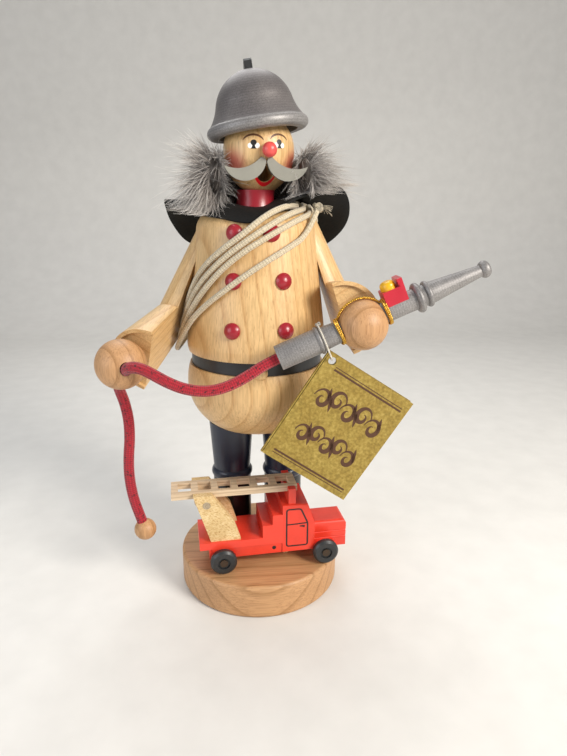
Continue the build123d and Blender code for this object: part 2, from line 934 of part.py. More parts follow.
with BuildPart() as hand_right:
    with Locations(place_right["hand"]):
        Sphere(hand_radius)
    with BuildSketch(Plane(origin=nozzle_start, z_dir=nozzle_along)):
        Circle(nozzle_barrel_radius + glue_gap)
    extrude(amount=nozzle_length, mode=Mode.SUBTRACT)
    with BuildSketch(Plane(origin=place_right["wrist"], z_dir=place_right["fore"])):
        Circle(wrist_radius + glue_gap)
    extrude(amount=wrist_in_hand, mode=Mode.SUBTRACT)


# Hose: one tube along straight runs joined by tangent arcs
def turn_at(points, index):
    """The angle in degrees by which a route turns at a point."""
    before = points[index] - points[index - 1]
    after = points[index + 1] - points[index]
    return before.get_angle(after)


def arc_radii(points):
    """The largest arc that each corner's two runs leave room for."""
    radii = []
    for index in range(1, len(points) - 1):
        shorter = min(
            (points[index] - points[index - 1]).length, (points[index + 1] - points[index]).length
        )
        radii.append(hose_arc_share * shorter / tan(radians(turn_at(points, index) / 2)))
    return radii


hose_radii = arc_radii(hose_points)
print("hose radii", [round(radius, 1) for radius in hose_radii])
print("hose turns", [round(turn_at(hose_points, i)) for i in range(1, len(hose_points) - 1)])
with BuildPart() as hose:
    with BuildLine() as hose_line:
        FilletPolyline(*hose_points, radius=hose_radii)
    with BuildSketch(Plane(origin=hose_points[0], z_dir=hose_points[1] - hose_points[0])):
        Circle(hose_radius)
    sweep()
hose_length = hose_line.wires()[0].length
print("hose length", round(hose_length, 1))
print("hose volume", round(hose.part.volume), "section x length", round(pi * hose_radius**2 * hose_length))

with BuildPart() as hose_bead:
    hang = (hose_points[-1] - hose_points[-2]).normalized()
    with Locations(hose_points[-1] + hang * (bead_radius - bead_bore_depth)):
        Sphere(bead_radius)
    with BuildSketch(Plane(origin=hose_points[-1], z_dir=-hang)):
        Circle(hose_radius + glue_gap)
    extrude(amount=2 * bead_bore_depth, mode=Mode.SUBTRACT)


# Rope: from its knot on the right shoulder, four turns round the left hip, each nearer the neck
# Each row gives the angle round the body and, as shares: how far down the skin the lane nearest
# the neck lies, how far apart the lanes lie, how far the inner and the outer lane hang off, and
# how much of its extra drop the outer lane has there
rope_step = 2.85
rope_hang = 4.0
rope_drop = 6.0
rope_rise = 0.55
rope_start_angle = 72.0
rope_shares = (
    (90.0, 0.0, 1.5, 0.0, 0.0, 0.0),
    (45.0, 0.045, 1.3, 0.2, 0.0, 0.6),
    (5.0, 0.14, 1.45, 0.8, 0.3, 1.0),
    (-30.0, 0.32, 1.7, 0.35, 0.1, 0.9),
    (-60.0, 0.53, 2.1, 0.0, 0.1, 0.0),
    (-90.0, 0.84, 1.9, 0.0, 0.6, 0.0),
    (-120.0, 0.74, 1.7, 0.0, 0.1, 0.0),
    (-160.0, 0.45, 1.7, 0.0, 0.1, 0.0),
    (165.0, 0.27, 1.6, 0.1, 0.1, 0.0),
    (135.0, 0.09, 1.7, 0.25, 0.2, 0.0),
    (112.0, -0.035, 1.7, 0.5, 0.8, 0.0),
)
shoulder_curve = jacket_height - jacket_shoulder_height
shoulder_arc = shoulder_curve * pi / 2
skin_length = shoulder_arc + hypot(
    jacket_radius - jacket_shoulder_radius, jacket_shoulder_height - jacket_hem_height
)


def skin_spot(distance, off):
    """Reach and height of a point off the jacket, by its distance down the skin from the top edge."""
    if distance < shoulder_arc:
        bend = distance / shoulder_curve
        reach = jacket_top_radius + (jacket_shoulder_radius - jacket_top_radius) * sin(bend)
        return reach + off * sin(bend), jacket_shoulder_height + shoulder_curve * cos(bend) + off * cos(bend)
    share = (distance - shoulder_arc) / (skin_length - shoulder_arc)
    reach = jacket_shoulder_radius + (jacket_radius - jacket_shoulder_radius) * share
    height = jacket_shoulder_height + (jacket_hem_height - jacket_shoulder_height) * share
    return reach + off, height


def rope_point(turn, row):
    """A point of the rope on the jacket, for a turn of the winding and a row of its table."""
    angle, down_share, spread_share, inner_share, outer_share, drop_share = rope_shares[row]
    lane = rope_turns - 1 - turn
    if row == 0:
        reach = jacket_top_radius + lane * rope_step * spread_share
        return around(angle, reach, jacket_top + rope_radius + rope_clear + rope_rise)
    down = skin_length * down_share + lane * rope_step * spread_share
    if turn == 0:
        down += rope_drop * drop_share
    hang = rope_hang * (inner_share + (outer_share - inner_share) * lane / (rope_turns - 1))
    reach, height = skin_spot(down, rope_radius + rope_clear + hang)
    return around(angle, reach, jacket_foot + height)


rope_points = []
for turn in range(rope_turns):
    rope_points += [rope_point(turn, row) for row in range(len(rope_shares))]
rope_points.append(rope_point(rope_turns, 0))
outer_reach = jacket_top_radius + rope_turns * rope_step
rope_points[0] = around(rope_start_angle, outer_reach, jacket_top + rope_radius)


def rope_tangent(index):
    """The direction of the rope at one of its points, from its neighbours."""
    before = rope_points[max(index - 1, 0)]
    after = rope_points[min(index + 1, len(rope_points) - 1)]
    return (after - before).normalized()


def biarc_joint(start, start_way, end, end_way):
    """The point where two tangent arcs between two points meet."""
    chord = end - start
    a = 2 * (1 - start_way.dot(end_way))
    b = 2 * chord.dot(start_way + end_way)
    reach = (sqrt(b * b + 4 * a * chord.dot(chord)) - b) / (2 * a)
    return (start + end + (start_way - end_way) * reach) / 2


with BuildPart() as rope:
    with BuildLine() as rope_line:
        for index in range(len(rope_points) - 1):
            start, end = rope_points[index], rope_points[index + 1]
            joint = biarc_joint(start, rope_tangent(index), end, rope_tangent(index + 1))
            first = TangentArc(start, joint, tangent=rope_tangent(index))
            TangentArc(joint, end, tangent=first % 1)
    with BuildSketch(Plane(origin=rope_points[0], z_dir=rope_tangent(0))):
        Circle(rope_radius)
    sweep()
rope_wire = rope_line.wires()[0]


def least_self_gap(wire, radius, samples):
    """The least gap between parts of a tube that are more than a quarter turn apart."""
    spots = [wire.position_at(index / samples) for index in range(samples + 1)]
    skip = samples // (4 * rope_turns)
    least = wire.length
    for first in range(len(spots)):
        for second in range(first + skip, len(spots)):
            least = min(least, (spots[first] - spots[second]).length)
    return least - 2 * radius


print("rope length", round(rope_wire.length, 1), "volume", round(rope.part.volume))
print("rope least gap to itself", round(least_self_gap(rope_wire, rope_radius, 480), 2))

with BuildPart() as rope_knot:
    with Locations(rope_points[0] - rope_tangent(0) * (knot_radius - rope_radius)):
        Sphere(knot_radius)
    add(rope.part, mode=Mode.SUBTRACT)
    add(jacket.part, mode=Mode.SUBTRACT)
    add(upper_arm_right.part, mode=Mode.SUBTRACT)
rope_knot.part = rope_knot.part.solids().sort_by(SortBy.VOLUME)[-1]


# Neck guard: a leather cape, cut round the neck
# Each column runs from the front edge to the back edge; its shares are of the guard's reach
guard_column_shares = (
    (
        (-0.975, 0.125, 0.10), (-0.96, 0.17, 0.09), (-0.94, 0.21, 0.065),
        (-0.92, 0.25, 0.01), (-0.90, 0.29, -0.06),
    ),
    (
        (-0.80, -0.01, 0.01), (-0.80, 0.10, 0.055), (-0.80, 0.25, 0.03),
        (-0.80, 0.40, -0.13), (-0.81, 0.50, -0.38),
    ),
    (
        (-0.45, -0.41, -0.075), (-0.45, -0.12, 0.035), (-0.45, 0.10, 0.055),
        (-0.45, 0.45, 0.0), (-0.45, 0.72, -0.47),
    ),
    (
        (-0.10, -0.65, -0.105), (-0.10, -0.38, 0.045), (-0.10, 0.05, 0.06),
        (-0.10, 0.48, 0.04), (-0.10, 0.80, -0.55),
    ),
    (
        (0.30, -0.47, 0.085), (0.30, -0.24, 0.14), (0.30, 0.05, 0.14),
        (0.30, 0.48, 0.06), (0.30, 0.79, -0.53),
    ),
    (
        (0.68, -0.02, 0.205), (0.69, 0.12, 0.21), (0.70, 0.30, 0.16),
        (0.71, 0.46, -0.02), (0.72, 0.60, -0.42),
    ),
    (
        (1.05, 0.22, 0.22), (1.05, 0.28, 0.20), (1.04, 0.33, 0.16),
        (1.02, 0.38, 0.08), (0.99, 0.43, -0.05),
    ),
)
guard_seat = Vector(0, figure_y, jacket_top)
guard_points = [
    [guard_seat + Vector(*shares) * guard_reach for shares in column] for column in guard_column_shares
]
guard_surface = Face.make_surface_from_array_of_points(guard_points)
with BuildPart() as neck_guard:
    thicken(guard_surface, amount=-guard_thickness)
    with BuildSketch(body_plane(jacket_top - neck_height)):
        Circle(neck_foot_radius + glue_gap)
    extrude(amount=4 * neck_height, mode=Mode.SUBTRACT)
    add(jacket.part, mode=Mode.SUBTRACT)
    add(buttons.part, mode=Mode.SUBTRACT)
    add(upper_arm_right.part, mode=Mode.SUBTRACT)


# Fur: a horseshoe roll round the back and the sides of the head, lying on the guard
with BuildPart() as fur:
    fur_middle = Vector(head_shift, figure_y, jacket_top + fur_foot + fur_height / 2)
    fur_start = radians(90 - fur_turn / 2)
    fur_way = Vector(cos(fur_start), sin(fur_start), 0)
    fur_axis = Axis(fur_middle, (0, 0, 1))
    with BuildSketch(Plane(origin=fur_middle, x_dir=fur_way, z_dir=fur_way.cross(Vector(0, 0, 1)))):
        with Locations((head_radius + fur_inner_gap + fur_reach / 2, 0)):
            Ellipse(fur_reach / 2, fur_height / 2)
    revolve(axis=fur_axis, revolution_arc=fur_turn)
    extrude(guard_surface, amount=fur_height, dir=(0, 0, -1), mode=Mode.SUBTRACT)
    add(neck_guard.part, mode=Mode.SUBTRACT)
    add(helmet.part, mode=Mode.SUBTRACT)
    add(rope_knot.part, mode=Mode.SUBTRACT)


# Gold band: two hoops round the barrel and a strand over the right hand
band_place = hand_radius + band_radius + glue_gap
hoop_radius = nozzle_barrel_radius + band_radius + glue_gap
hoop_place = sqrt(band_place**2 - (hoop_radius - nozzle_lift) ** 2)
with BuildPart() as gold_band:
    for place in (nozzle_hand_place - hoop_place, nozzle_hand_place + hoop_place):
        hoop_middle = nozzle_start + nozzle_along * place
        with BuildSketch(Plane(origin=hoop_middle, x_dir=nozzle_up, z_dir=(0, 1, 0))):
            with Locations((hoop_radius, 0)):
                Circle(band_radius)
        revolve(axis=Axis(nozzle_start, nozzle_along))
    strand_foot = place_right["hand"] + nozzle_up * (nozzle_lift + hoop_radius)
    with BuildLine() as strand:
        ThreePointArc(
            strand_foot - nozzle_along * (hoop_place + band_radius / 4),
            place_right["hand"] + nozzle_up * band_place,
            strand_foot + nozzle_along * (hoop_place + band_radius / 4),
        )
    with BuildSketch(Plane(origin=strand.line @ 0, z_dir=strand.line % 0)):
        Circle(band_radius)
    sweep()


# Tag: a folded card on a loop of cord round the nozzle, just past the nozzle's ring
tag_place = nozzle_ring_place + nozzle_ring_width / 2 + tag_cord_radius + turn_gap
cord_bend = 3.0
cord_reach = nozzle_rear_radius + tag_cord_radius + turn_gap
tag_hang = 9.1
tag_depth = 1.4
cord_plane = Plane(origin=nozzle_start + nozzle_along * tag_place, x_dir=(0, 1, 0), z_dir=nozzle_along)
tag_face = Plane(
    origin=cord_plane.origin - nozzle_up * tag_hang + Vector(0, -tag_depth, 0),
    x_dir=(cos(radians(tag_turn)), 0, -sin(radians(tag_turn))),
    z_dir=(0, -1, 0),
)
leaf_middle = (tag_width / 2 - tag_hole_inset, tag_hole_inset - tag_height / 2)
cord_lift = tag_hole_radius / 3

bend_middle = Vector(-tag_depth, cord_lift + cord_bend - tag_hang)
bend_angle = degrees(atan2(bend_middle.Y, bend_middle.X))
touch_angle = degrees(acos((cord_reach - cord_bend) / bend_middle.length))


def on_circle(middle, reach, angle):
    """A point of a circle in the plane of the cord's loop."""
    return cord_plane.from_local_coords(
        middle + Vector(reach * cos(radians(angle)), reach * sin(radians(angle)))
    )


cord_halves = (
    (Vector(), cord_reach, bend_angle + touch_angle, 180, bend_angle - touch_angle),
    (bend_middle, cord_bend, bend_angle - touch_angle, 0, bend_angle + touch_angle),
)
with BuildPart() as tag_cord:
    for middle, reach, first, turned, last in cord_halves:
        with BuildLine() as half_loop:
            start = on_circle(middle, reach, first)
            halfway = on_circle(middle, reach, bend_angle + turned)
            ThreePointArc(start, halfway, on_circle(middle, reach, last))
            if turned:
                Line(on_circle(bend_middle, cord_bend, first), start)
                Line(on_circle(middle, reach, last), on_circle(bend_middle, cord_bend, last))
        path = half_loop.wires()[0]
        with BuildSketch(Plane(origin=path @ 0, z_dir=path % 0)):
            Circle(tag_cord_radius)
        sweep(path=path)

with BuildPart() as tag_back:
    with BuildSketch(tag_face.offset(-tag_leaf_gap / 2 - tag_leaf)):
        with Locations(leaf_middle):
            Rectangle(tag_width, tag_height)
        Circle(tag_hole_radius, mode=Mode.SUBTRACT)
    extrude(amount=tag_leaf)
    with BuildSketch(tag_face.offset(-tag_leaf_gap / 2 - tag_leaf)):
        with Locations((-tag_hole_inset - tag_leaf / 2, leaf_middle[1])):
            Rectangle(tag_leaf, tag_height)
    extrude(amount=2 * tag_leaf + tag_leaf_gap)

fold = Axis(tag_face.from_local_coords((turn_gap - tag_hole_inset, 0, tag_leaf_gap / 2)), tag_face.y_dir)
with BuildPart() as tag_front:
    with BuildSketch(tag_face.offset(tag_leaf_gap / 2)):
        with Locations((leaf_middle[0] + turn_gap / 2, leaf_middle[1])):
            Rectangle(tag_width - turn_gap, tag_height)
        Circle(tag_hole_radius, mode=Mode.SUBTRACT)
    extrude(amount=tag_leaf)
tag_front.part = tag_front.part.rotate(fold, -tag_open_angle)


# Fire engine, on its own frame: along, across to the back and up
engine_turn = radians(engine_yaw)
engine_along = Vector(cos(engine_turn), sin(engine_turn), 0)
engine_across = Vector(-sin(engine_turn), cos(engine_turn), 0)
engine_place = Vector(*engine_start, base_height)
body_near = (engine_width - body_width) / 2
body_far = body_near + body_width
wheel_height = wheel_radius + turn_gap
bed_top = bed_lift + bed_thickness
bed_end = bed_length - bed_overhang
cab_end = bed_end + cab_length
cab_top = bed_lift - cab_sink + cab_height
bonnet_foot = bed_lift - bonnet_sink
axle_block_length = 2 * (wheelbase - cab_end)
axle_block_foot = wheel_height - 2 * axle_radius
ladder_foot = bed_lift + ladder_rise
engine_middle = engine_width / 2
dowel_along = bed_end + 1.5 * engine_dowel_radius


def engine_side(across):
    """An upright plane along the engine, facing the viewer; across is the distance from the near wheels."""
    return Plane(origin=engine_place + engine_across * across, x_dir=engine_along, z_dir=-engine_across)


def engine_level(height):
    """A horizontal plane at a height above the base disc, in the engine's own directions."""
    return Plane(origin=engine_place + Vector(0, 0, height), x_dir=engine_along, z_dir=(0, 0, 1))


def engine_point(along, across, height):
    return engine_place + engine_along * along + engine_across * across + Vector(0, 0, height)


with BuildPart(mode=Mode.PRIVATE) as axle_bores:
    with BuildSketch(engine_side(engine_width)):
        with Locations((0, wheel_height), (wheelbase, wheel_height)):
            Circle(axle_radius + glue_gap)
    extrude(amount=engine_width)

with BuildPart() as chassis:
    with BuildSketch(engine_side(body_far - chassis_inset)):
        with BuildLine():
            Polyline(
                (-chassis_rear, bed_lift - chassis_height),
                (bed_end, bed_lift - chassis_height),
                (bed_end, bed_lift),
                (-chassis_rear, bed_lift),
                close=True,
            )
        make_face()
    extrude(amount=body_width - 2 * chassis_inset)
    with BuildSketch(engine_side(body_far)):
        with Locations((0, (axle_block_foot + bed_lift) / 2)):
            Rectangle(axle_block_length, bed_lift - axle_block_foot)
    extrude(amount=body_width)
    add(axle_bores.part, mode=Mode.SUBTRACT)

with BuildPart() as bed:
    with BuildSketch(engine_side(body_far)):
        with Locations((bed_end - bed_length / 2, bed_lift + bed_thickness / 2)):
            Rectangle(bed_length, bed_thickness)
    extrude(amount=body_width)

with BuildPart() as steps:
    with BuildSketch(engine_side(body_far)):
        with BuildLine():
            Polyline(
                (bed_end, bed_top),
                (bed_end, bed_top + upper_step_height),
                (bed_end - step_length, bed_top + upper_step_height),
                (bed_end - step_length, bed_top + lower_step_height),
                (bed_end - 2 * step_length, bed_top + lower_step_height),
                (bed_end - 2 * step_length, bed_top),
                close=True,
            )
        make_face()
    extrude(amount=body_width)

with BuildPart() as front_axle_block:
    with BuildSketch(engine_side(body_far)):
        with Locations((wheelbase, wheel_height + axle_radius / 2)):
            Rectangle(axle_block_length, 2 * (wheel_height + axle_radius / 2 - axle_block_foot))
    extrude(amount=body_width)
    add(axle_bores.part, mode=Mode.SUBTRACT)

with BuildPart() as cab:
    with BuildSketch(engine_side(body_far)):
        with BuildLine():
            Polyline(
                (bed_end, bed_lift - cab_sink),
                (cab_end, bed_lift - cab_sink),
                (cab_end, cab_top - windscreen_height),
                (bed_end + roof_length, cab_top),
                (bed_end, cab_top),
                close=True,
            )
        make_face()
    extrude(amount=body_width)
    fillet(cab.edges().filter_by(engine_side(0)).group_by(Axis.Z)[-1], cab_edge / 2)
    with BuildSketch(engine_level(bed_lift - cab_sink)):
        with Locations((dowel_along, engine_middle)):
            Circle(engine_dowel_radius + glue_gap)
    extrude(amount=cab_sink, mode=Mode.SUBTRACT)

with BuildPart() as bonnet:
    with BuildSketch(engine_side(engine_middle + bonnet_width / 2)):
        with Locations((cab_end + bonnet_length / 2, bonnet_foot + bonnet_height / 2)):
            Rectangle(bonnet_length, bonnet_height)
    extrude(amount=bonnet_width)
    fillet(bonnet.edges().group_by(Axis.Z)[-1], bonnet_edge)
    with BuildSketch(Plane(origin=engine_point(cab_end, engine_middle, bonnet_foot),
                           x_dir=engine_across, z_dir=engine_along)):
        for rise in groove_rise:
            with Locations((-bonnet_width / 2, rise), (bonnet_width / 2, rise)):
                Circle(groove_radius)
    extrude(amount=bonnet_length + overrun, mode=Mode.SUBTRACT)
    add(front_axle_block.part, mode=Mode.SUBTRACT)
    add(axle_bores.part, mode=Mode.SUBTRACT)

with BuildPart() as ladder_rest:
    with BuildSketch(Plane(origin=engine_point(bed_end + rest_start, engine_middle, cab_top),
                           x_dir=engine_across, z_dir=engine_along)):
        with Locations((0, rest_height / 2)):
            Rectangle(ladder_width + 2 * turn_gap + 2 * rest_thickness, rest_height)
        with Locations((0, ladder_foot - turn_gap - cab_top + rest_height)):
            Rectangle(ladder_width + 2 * turn_gap, 2 * rest_height, mode=Mode.SUBTRACT)
    extrude(amount=rest_length)


# Ladder, its block, the leaning plywood brackets and the dowel it turns on
pivot_along = -bed_overhang + pivot_place
pivot_height = bed_top + pivot_rise


def make_bracket(across, label):
    foot_start = -bracket_place
    with BuildPart() as bracket:
        with BuildSketch(engine_side(across)):
            with BuildLine():
                Polyline(
                    (foot_start - bracket_lean, bed_top + bracket_height),
                    (foot_start, bed_top),
                    (foot_start + bracket_foot, bed_top),
                    (
                        foot_start + bracket_foot * bracket_bend_share,
                        bed_top + bracket_height * bracket_waist_share,
                    ),
                    (foot_start - bracket_lean + bracket_top, bed_top + bracket_height),
                    close=True,
                )
            make_face()
        extrude(amount=bracket_thickness)
        with BuildSketch(engine_side(across)):
            with Locations((pivot_along, pivot_height)):
                Circle(pivot_radius + glue_gap)
        extrude(amount=bracket_thickness, mode=Mode.SUBTRACT)
    save(bracket, label)


bracket_reach = ladder_width / 2 + lift_gap
make_bracket(engine_middle - bracket_reach, "ladder_bracket_near")
make_bracket(engine_middle + bracket_reach + bracket_thickness, "ladder_bracket_far")

with BuildPart() as ladder_dowel:
    with BuildSketch(engine_side(engine_middle + bracket_reach + bracket_thickness)):
        with Locations((pivot_along, pivot_height)):
            Circle(pivot_radius)
    extrude(amount=2 * (bracket_reach + bracket_thickness))

with BuildPart() as ladder:
    with BuildSketch(engine_level(ladder_foot)):
        with Locations((ladder_length / 2 - bed_overhang - ladder_rear, engine_middle)):
            Rectangle(ladder_length, ladder_width)
    extrude(amount=ladder_thickness)
    front = ladder_length - bed_overhang - ladder_rear
    slot = ladder_pitch - ladder_rung
    with BuildSketch(engine_level(ladder_foot)):
        for rung in range(int(ladder_length / ladder_pitch)):
            with Locations((front - ladder_rung - slot / 2 - rung * ladder_pitch, engine_middle)):
                Rectangle(slot, ladder_width - 2 * ladder_rail)
    extrude(amount=ladder_thickness, mode=Mode.SUBTRACT)

with BuildPart() as ladder_block:
    with BuildSketch(engine_side(engine_middle + pivot_block_width / 2)):
        with Locations((pivot_along, pivot_height)):
            Circle(pivot_block_radius)
            Circle(pivot_radius + pivot_gap, mode=Mode.SUBTRACT)
    extrude(amount=pivot_block_width)
    with BuildSketch(engine_level(ladder_foot)):
        with Locations((pivot_along, engine_middle)):
            Rectangle(4 * pivot_block_radius, 4 * pivot_block_radius)
    extrude(amount=2 * pivot_block_radius, mode=Mode.SUBTRACT)


# Wheels and axles
head_place = wheel_recess_depth - pivot_gap


def make_wheel(along, near, label):
    outer = engine_point(along, 0 if near else engine_width, wheel_height)
    inward = engine_across if near else -engine_across
    with BuildPart() as wheel:
        with BuildSketch(Plane(origin=outer, x_dir=(0, 0, 1), z_dir=Vector(0, 0, 1).cross(inward))):
            with BuildLine():
                Polyline(
                    (axle_radius + pivot_gap, wheel_thickness),
                    (axle_radius + pivot_gap, wheel_recess_depth),
                    (wheel_recess_radius, wheel_recess_depth),
                    (wheel_recess_radius, 0),
                    (wheel_radius - wheel_edge, 0),
                    (wheel_radius, wheel_edge),
                    (wheel_radius, wheel_thickness - wheel_edge),
                    (wheel_radius - wheel_edge, wheel_thickness),
                    close=True,
                )
            make_face()
        revolve(axis=Axis(outer, inward))
    save(wheel, label)


for along, end in ((0, "rear"), (wheelbase, "front")):
    for near, row in ((True, "near"), (False, "far")):
        make_wheel(along, near, f"wheel_{end}_{row}")


def make_axle(along, label):
    with BuildPart() as axle:
        with BuildSketch(engine_side(engine_width - head_place)):
            with Locations((along, wheel_height)):
                Circle(axle_radius)
        extrude(amount=engine_width - 2 * head_place)
        for across in (engine_width - head_place + axle_head_height, head_place):
            with BuildSketch(engine_side(across)):
                with Locations((along, wheel_height)):
                    Circle(axle_head_radius)
            extrude(amount=axle_head_height)
    save(axle, label)


make_axle(0, "rear_axle")
make_axle(wheelbase, "front_axle")

with BuildPart() as engine_dowel:
    with BuildSketch(engine_level(-tenon_length / 2)):
        with Locations((dowel_along, engine_middle)):
            Circle(engine_dowel_radius)
    extrude(amount=tenon_length / 2 + bed_lift - overrun)

with base_disc:
    with BuildSketch(engine_level(0)):
        with Locations((dowel_along, engine_middle)):
            Circle(engine_dowel_radius + glue_gap)
    extrude(amount=-tenon_length / 2, mode=Mode.SUBTRACT)


for piece, label in (
    (base_disc, "base_disc"),
    (skirt, "skirt"),
    (belt, "belt"),
    (belt_buckle, "belt_buckle"),
    (incense_dish, "incense_dish"),
    (dish_nail, "dish_nail"),
    (jacket, "jacket"),
    (buttons, "buttons"),
    (neck_ring, "neck_ring"),
    (head, "head"),
    (nose, "nose"),
    (helmet, "helmet"),
    (helmet_comb, "helmet_comb"),
    (wrist_dowels, "wrist_dowels"),
    (nozzle, "nozzle"),
    (valve_block, "valve_block"),
    (valve_knob, "valve_knob"),
    (hand_left, "hand_left"),
    (hand_right, "hand_right"),
    (hose, "hose"),
    (hose_bead, "hose_bead"),
    (rope, "rope"),
    (rope_knot, "rope_knot"),
    (neck_guard, "neck_guard"),
    (fur, "fur"),
    (gold_band, "gold_band"),
    (tag_back, "tag_back"),
    (tag_front, "tag_front"),
    (tag_cord, "tag_cord"),
    (chassis, "chassis"),
    (bed, "bed"),
    (steps, "steps"),
    (front_axle_block, "front_axle_block"),
    (cab, "cab"),
    (bonnet, "bonnet"),
    (ladder_rest, "ladder_rest"),
    (ladder, "ladder"),
    (ladder_block, "ladder_block"),
    (ladder_dowel, "ladder_dowel"),
    (engine_dowel, "engine_dowel"),
):
    save(piece, label)
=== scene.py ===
from bisect import bisect
from math import acos, atan2, cos, hypot, pi, radians, sin, sqrt
from random import Random

import bpy
from mathutils import Matrix, Vector


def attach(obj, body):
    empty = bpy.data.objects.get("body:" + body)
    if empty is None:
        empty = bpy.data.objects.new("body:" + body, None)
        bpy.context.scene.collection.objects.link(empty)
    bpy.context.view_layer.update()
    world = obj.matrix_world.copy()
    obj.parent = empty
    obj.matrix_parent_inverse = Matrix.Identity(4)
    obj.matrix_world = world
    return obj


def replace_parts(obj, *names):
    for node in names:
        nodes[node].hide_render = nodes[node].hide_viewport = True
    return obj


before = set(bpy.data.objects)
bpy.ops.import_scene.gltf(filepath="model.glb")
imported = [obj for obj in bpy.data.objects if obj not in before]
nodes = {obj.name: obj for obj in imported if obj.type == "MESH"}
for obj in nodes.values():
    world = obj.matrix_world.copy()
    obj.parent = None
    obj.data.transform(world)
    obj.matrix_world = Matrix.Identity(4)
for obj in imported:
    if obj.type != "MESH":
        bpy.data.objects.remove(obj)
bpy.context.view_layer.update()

# Lengths are in millimetres until they reach Blender, which has metres; colours are sRGB hex
unit = 0.001
print("frame loaded, nodes:", len(nodes))

# Places that several pieces are set by
figure = {"axisY": 12.0, "headShift": 1.5, "headRadius": 14.6, "headCentre": 191.0, "headYaw": 8.0}
jacket = {  # half profile of the turned jacket: flat crown, shoulder bend, straight side
    "foot": 108.0, "top": 167.3, "crown": 16.5, "bend": 8.3, "bendOut": 8.8, "bendFoot": 51.0,
    "shoulder": 25.3, "flare": 5.6, "side": 47.0,
}
nozzle = {"start": (6.09, -28.45, 112.93), "turn": 23.0}


# Colour as the shader wants it, from sRGB hex
def linear(colour):
    parts = [(colour >> shift & 255) / 255 for shift in (16, 8, 0)]
    return tuple(p / 12.92 if p <= 0.04045 else ((p + 0.055) / 1.055) ** 2.4 for p in parts) + (1.0,)


# The same colour made darker or lighter
def shaded(colour, times, plus=0.0):
    return tuple(min(part * times + plus, 1) for part in linear(colour)[:3]) + (1.0,)


# Texture scale for a pattern whose features are so many millimetres apart
def scaleFor(size):
    return 1 / (size * unit)


waveShare = 0.314  # a wave texture of scale 1 repeats every 0.314 units
mixed = {"out": 2, "data_type": "RGBA"}  # two colours blended
stained = {"out": 2, "data_type": "RGBA", "blend_type": "MULTIPLY"}  # one colour laid over another


# Set a node's inputs, each to a plain value or to what feeds it
def setInputs(tree, node, inputs):
    for name, value in inputs.items():
        if isinstance(value, bpy.types.NodeSocket):
            tree.links.new(value, node.inputs[name])
        else:
            node.inputs[name].default_value = value


# Add a node with its settings and links, and give the output that is wanted
def addNode(tree, kind, inputs, out=0, stops=(), **settings):
    node = tree.nodes.new("ShaderNode" + kind)
    for name, value in settings.items():
        setattr(node, name, value)
    setInputs(tree, node, inputs)
    if stops:  # places and colours of a ramp
        elements = node.color_ramp.elements
        while len(elements) < len(stops):
            elements.new(0.5)
        for element, (share, colour) in zip(elements, stops):
            element.position, element.color = share, linear(colour)
    return node.outputs[out]


# A new material with its tree and shader, and object coordinates turned to suit the piece
def startMaterial(name, turn=(0, 0, 0), origin=(0, 0, 0)):
    material = bpy.data.materials.new(name)
    material.use_nodes = True
    tree = material.node_tree
    spot = addNode(tree, "Mapping", {
        "Vector": addNode(tree, "TexCoord", {}, "Object"),
        "Location": [part * unit for part in origin], "Rotation": turn,
    }, vector_type="TEXTURE")
    return material, tree, tree.nodes["Principled BSDF"], spot


woods = {
    # Limewood, turned and waxed: pale and even, with a soft shine
    "lime": {"pale": 0xE2BE87, "dark": 0xC99C63, "ring": 4.2, "gloss": 0.38},
    # Steamed beech, turned and oiled: pinker, plainer rings, duller
    "beech": {"pale": 0xC89A6C, "dark": 0xA27648, "ring": 5.5, "gloss": 0.5},
    # Pine strip, sawn and left bare: dry and greyish, with close rings
    "ladder": {"pale": 0xD9C2A2, "dark": 0xA98F73, "ring": 2.2, "gloss": 0.62},
    # Beech dowel, cut off: end grain, darker and dry
    "dowel": {"pale": 0xB3A287, "dark": 0x84755D, "ring": 1.2, "gloss": 0.6},
}
grain = {  # sizes across the fibres; pores are finer in the real wood and are drawn as coarse as shows
    "fibre": 0.667, "patch": 11.1, "pore": 0.385, "stretch": 0.035, "fibreDepth": 0.035, "poreDepth": 0.03,
}


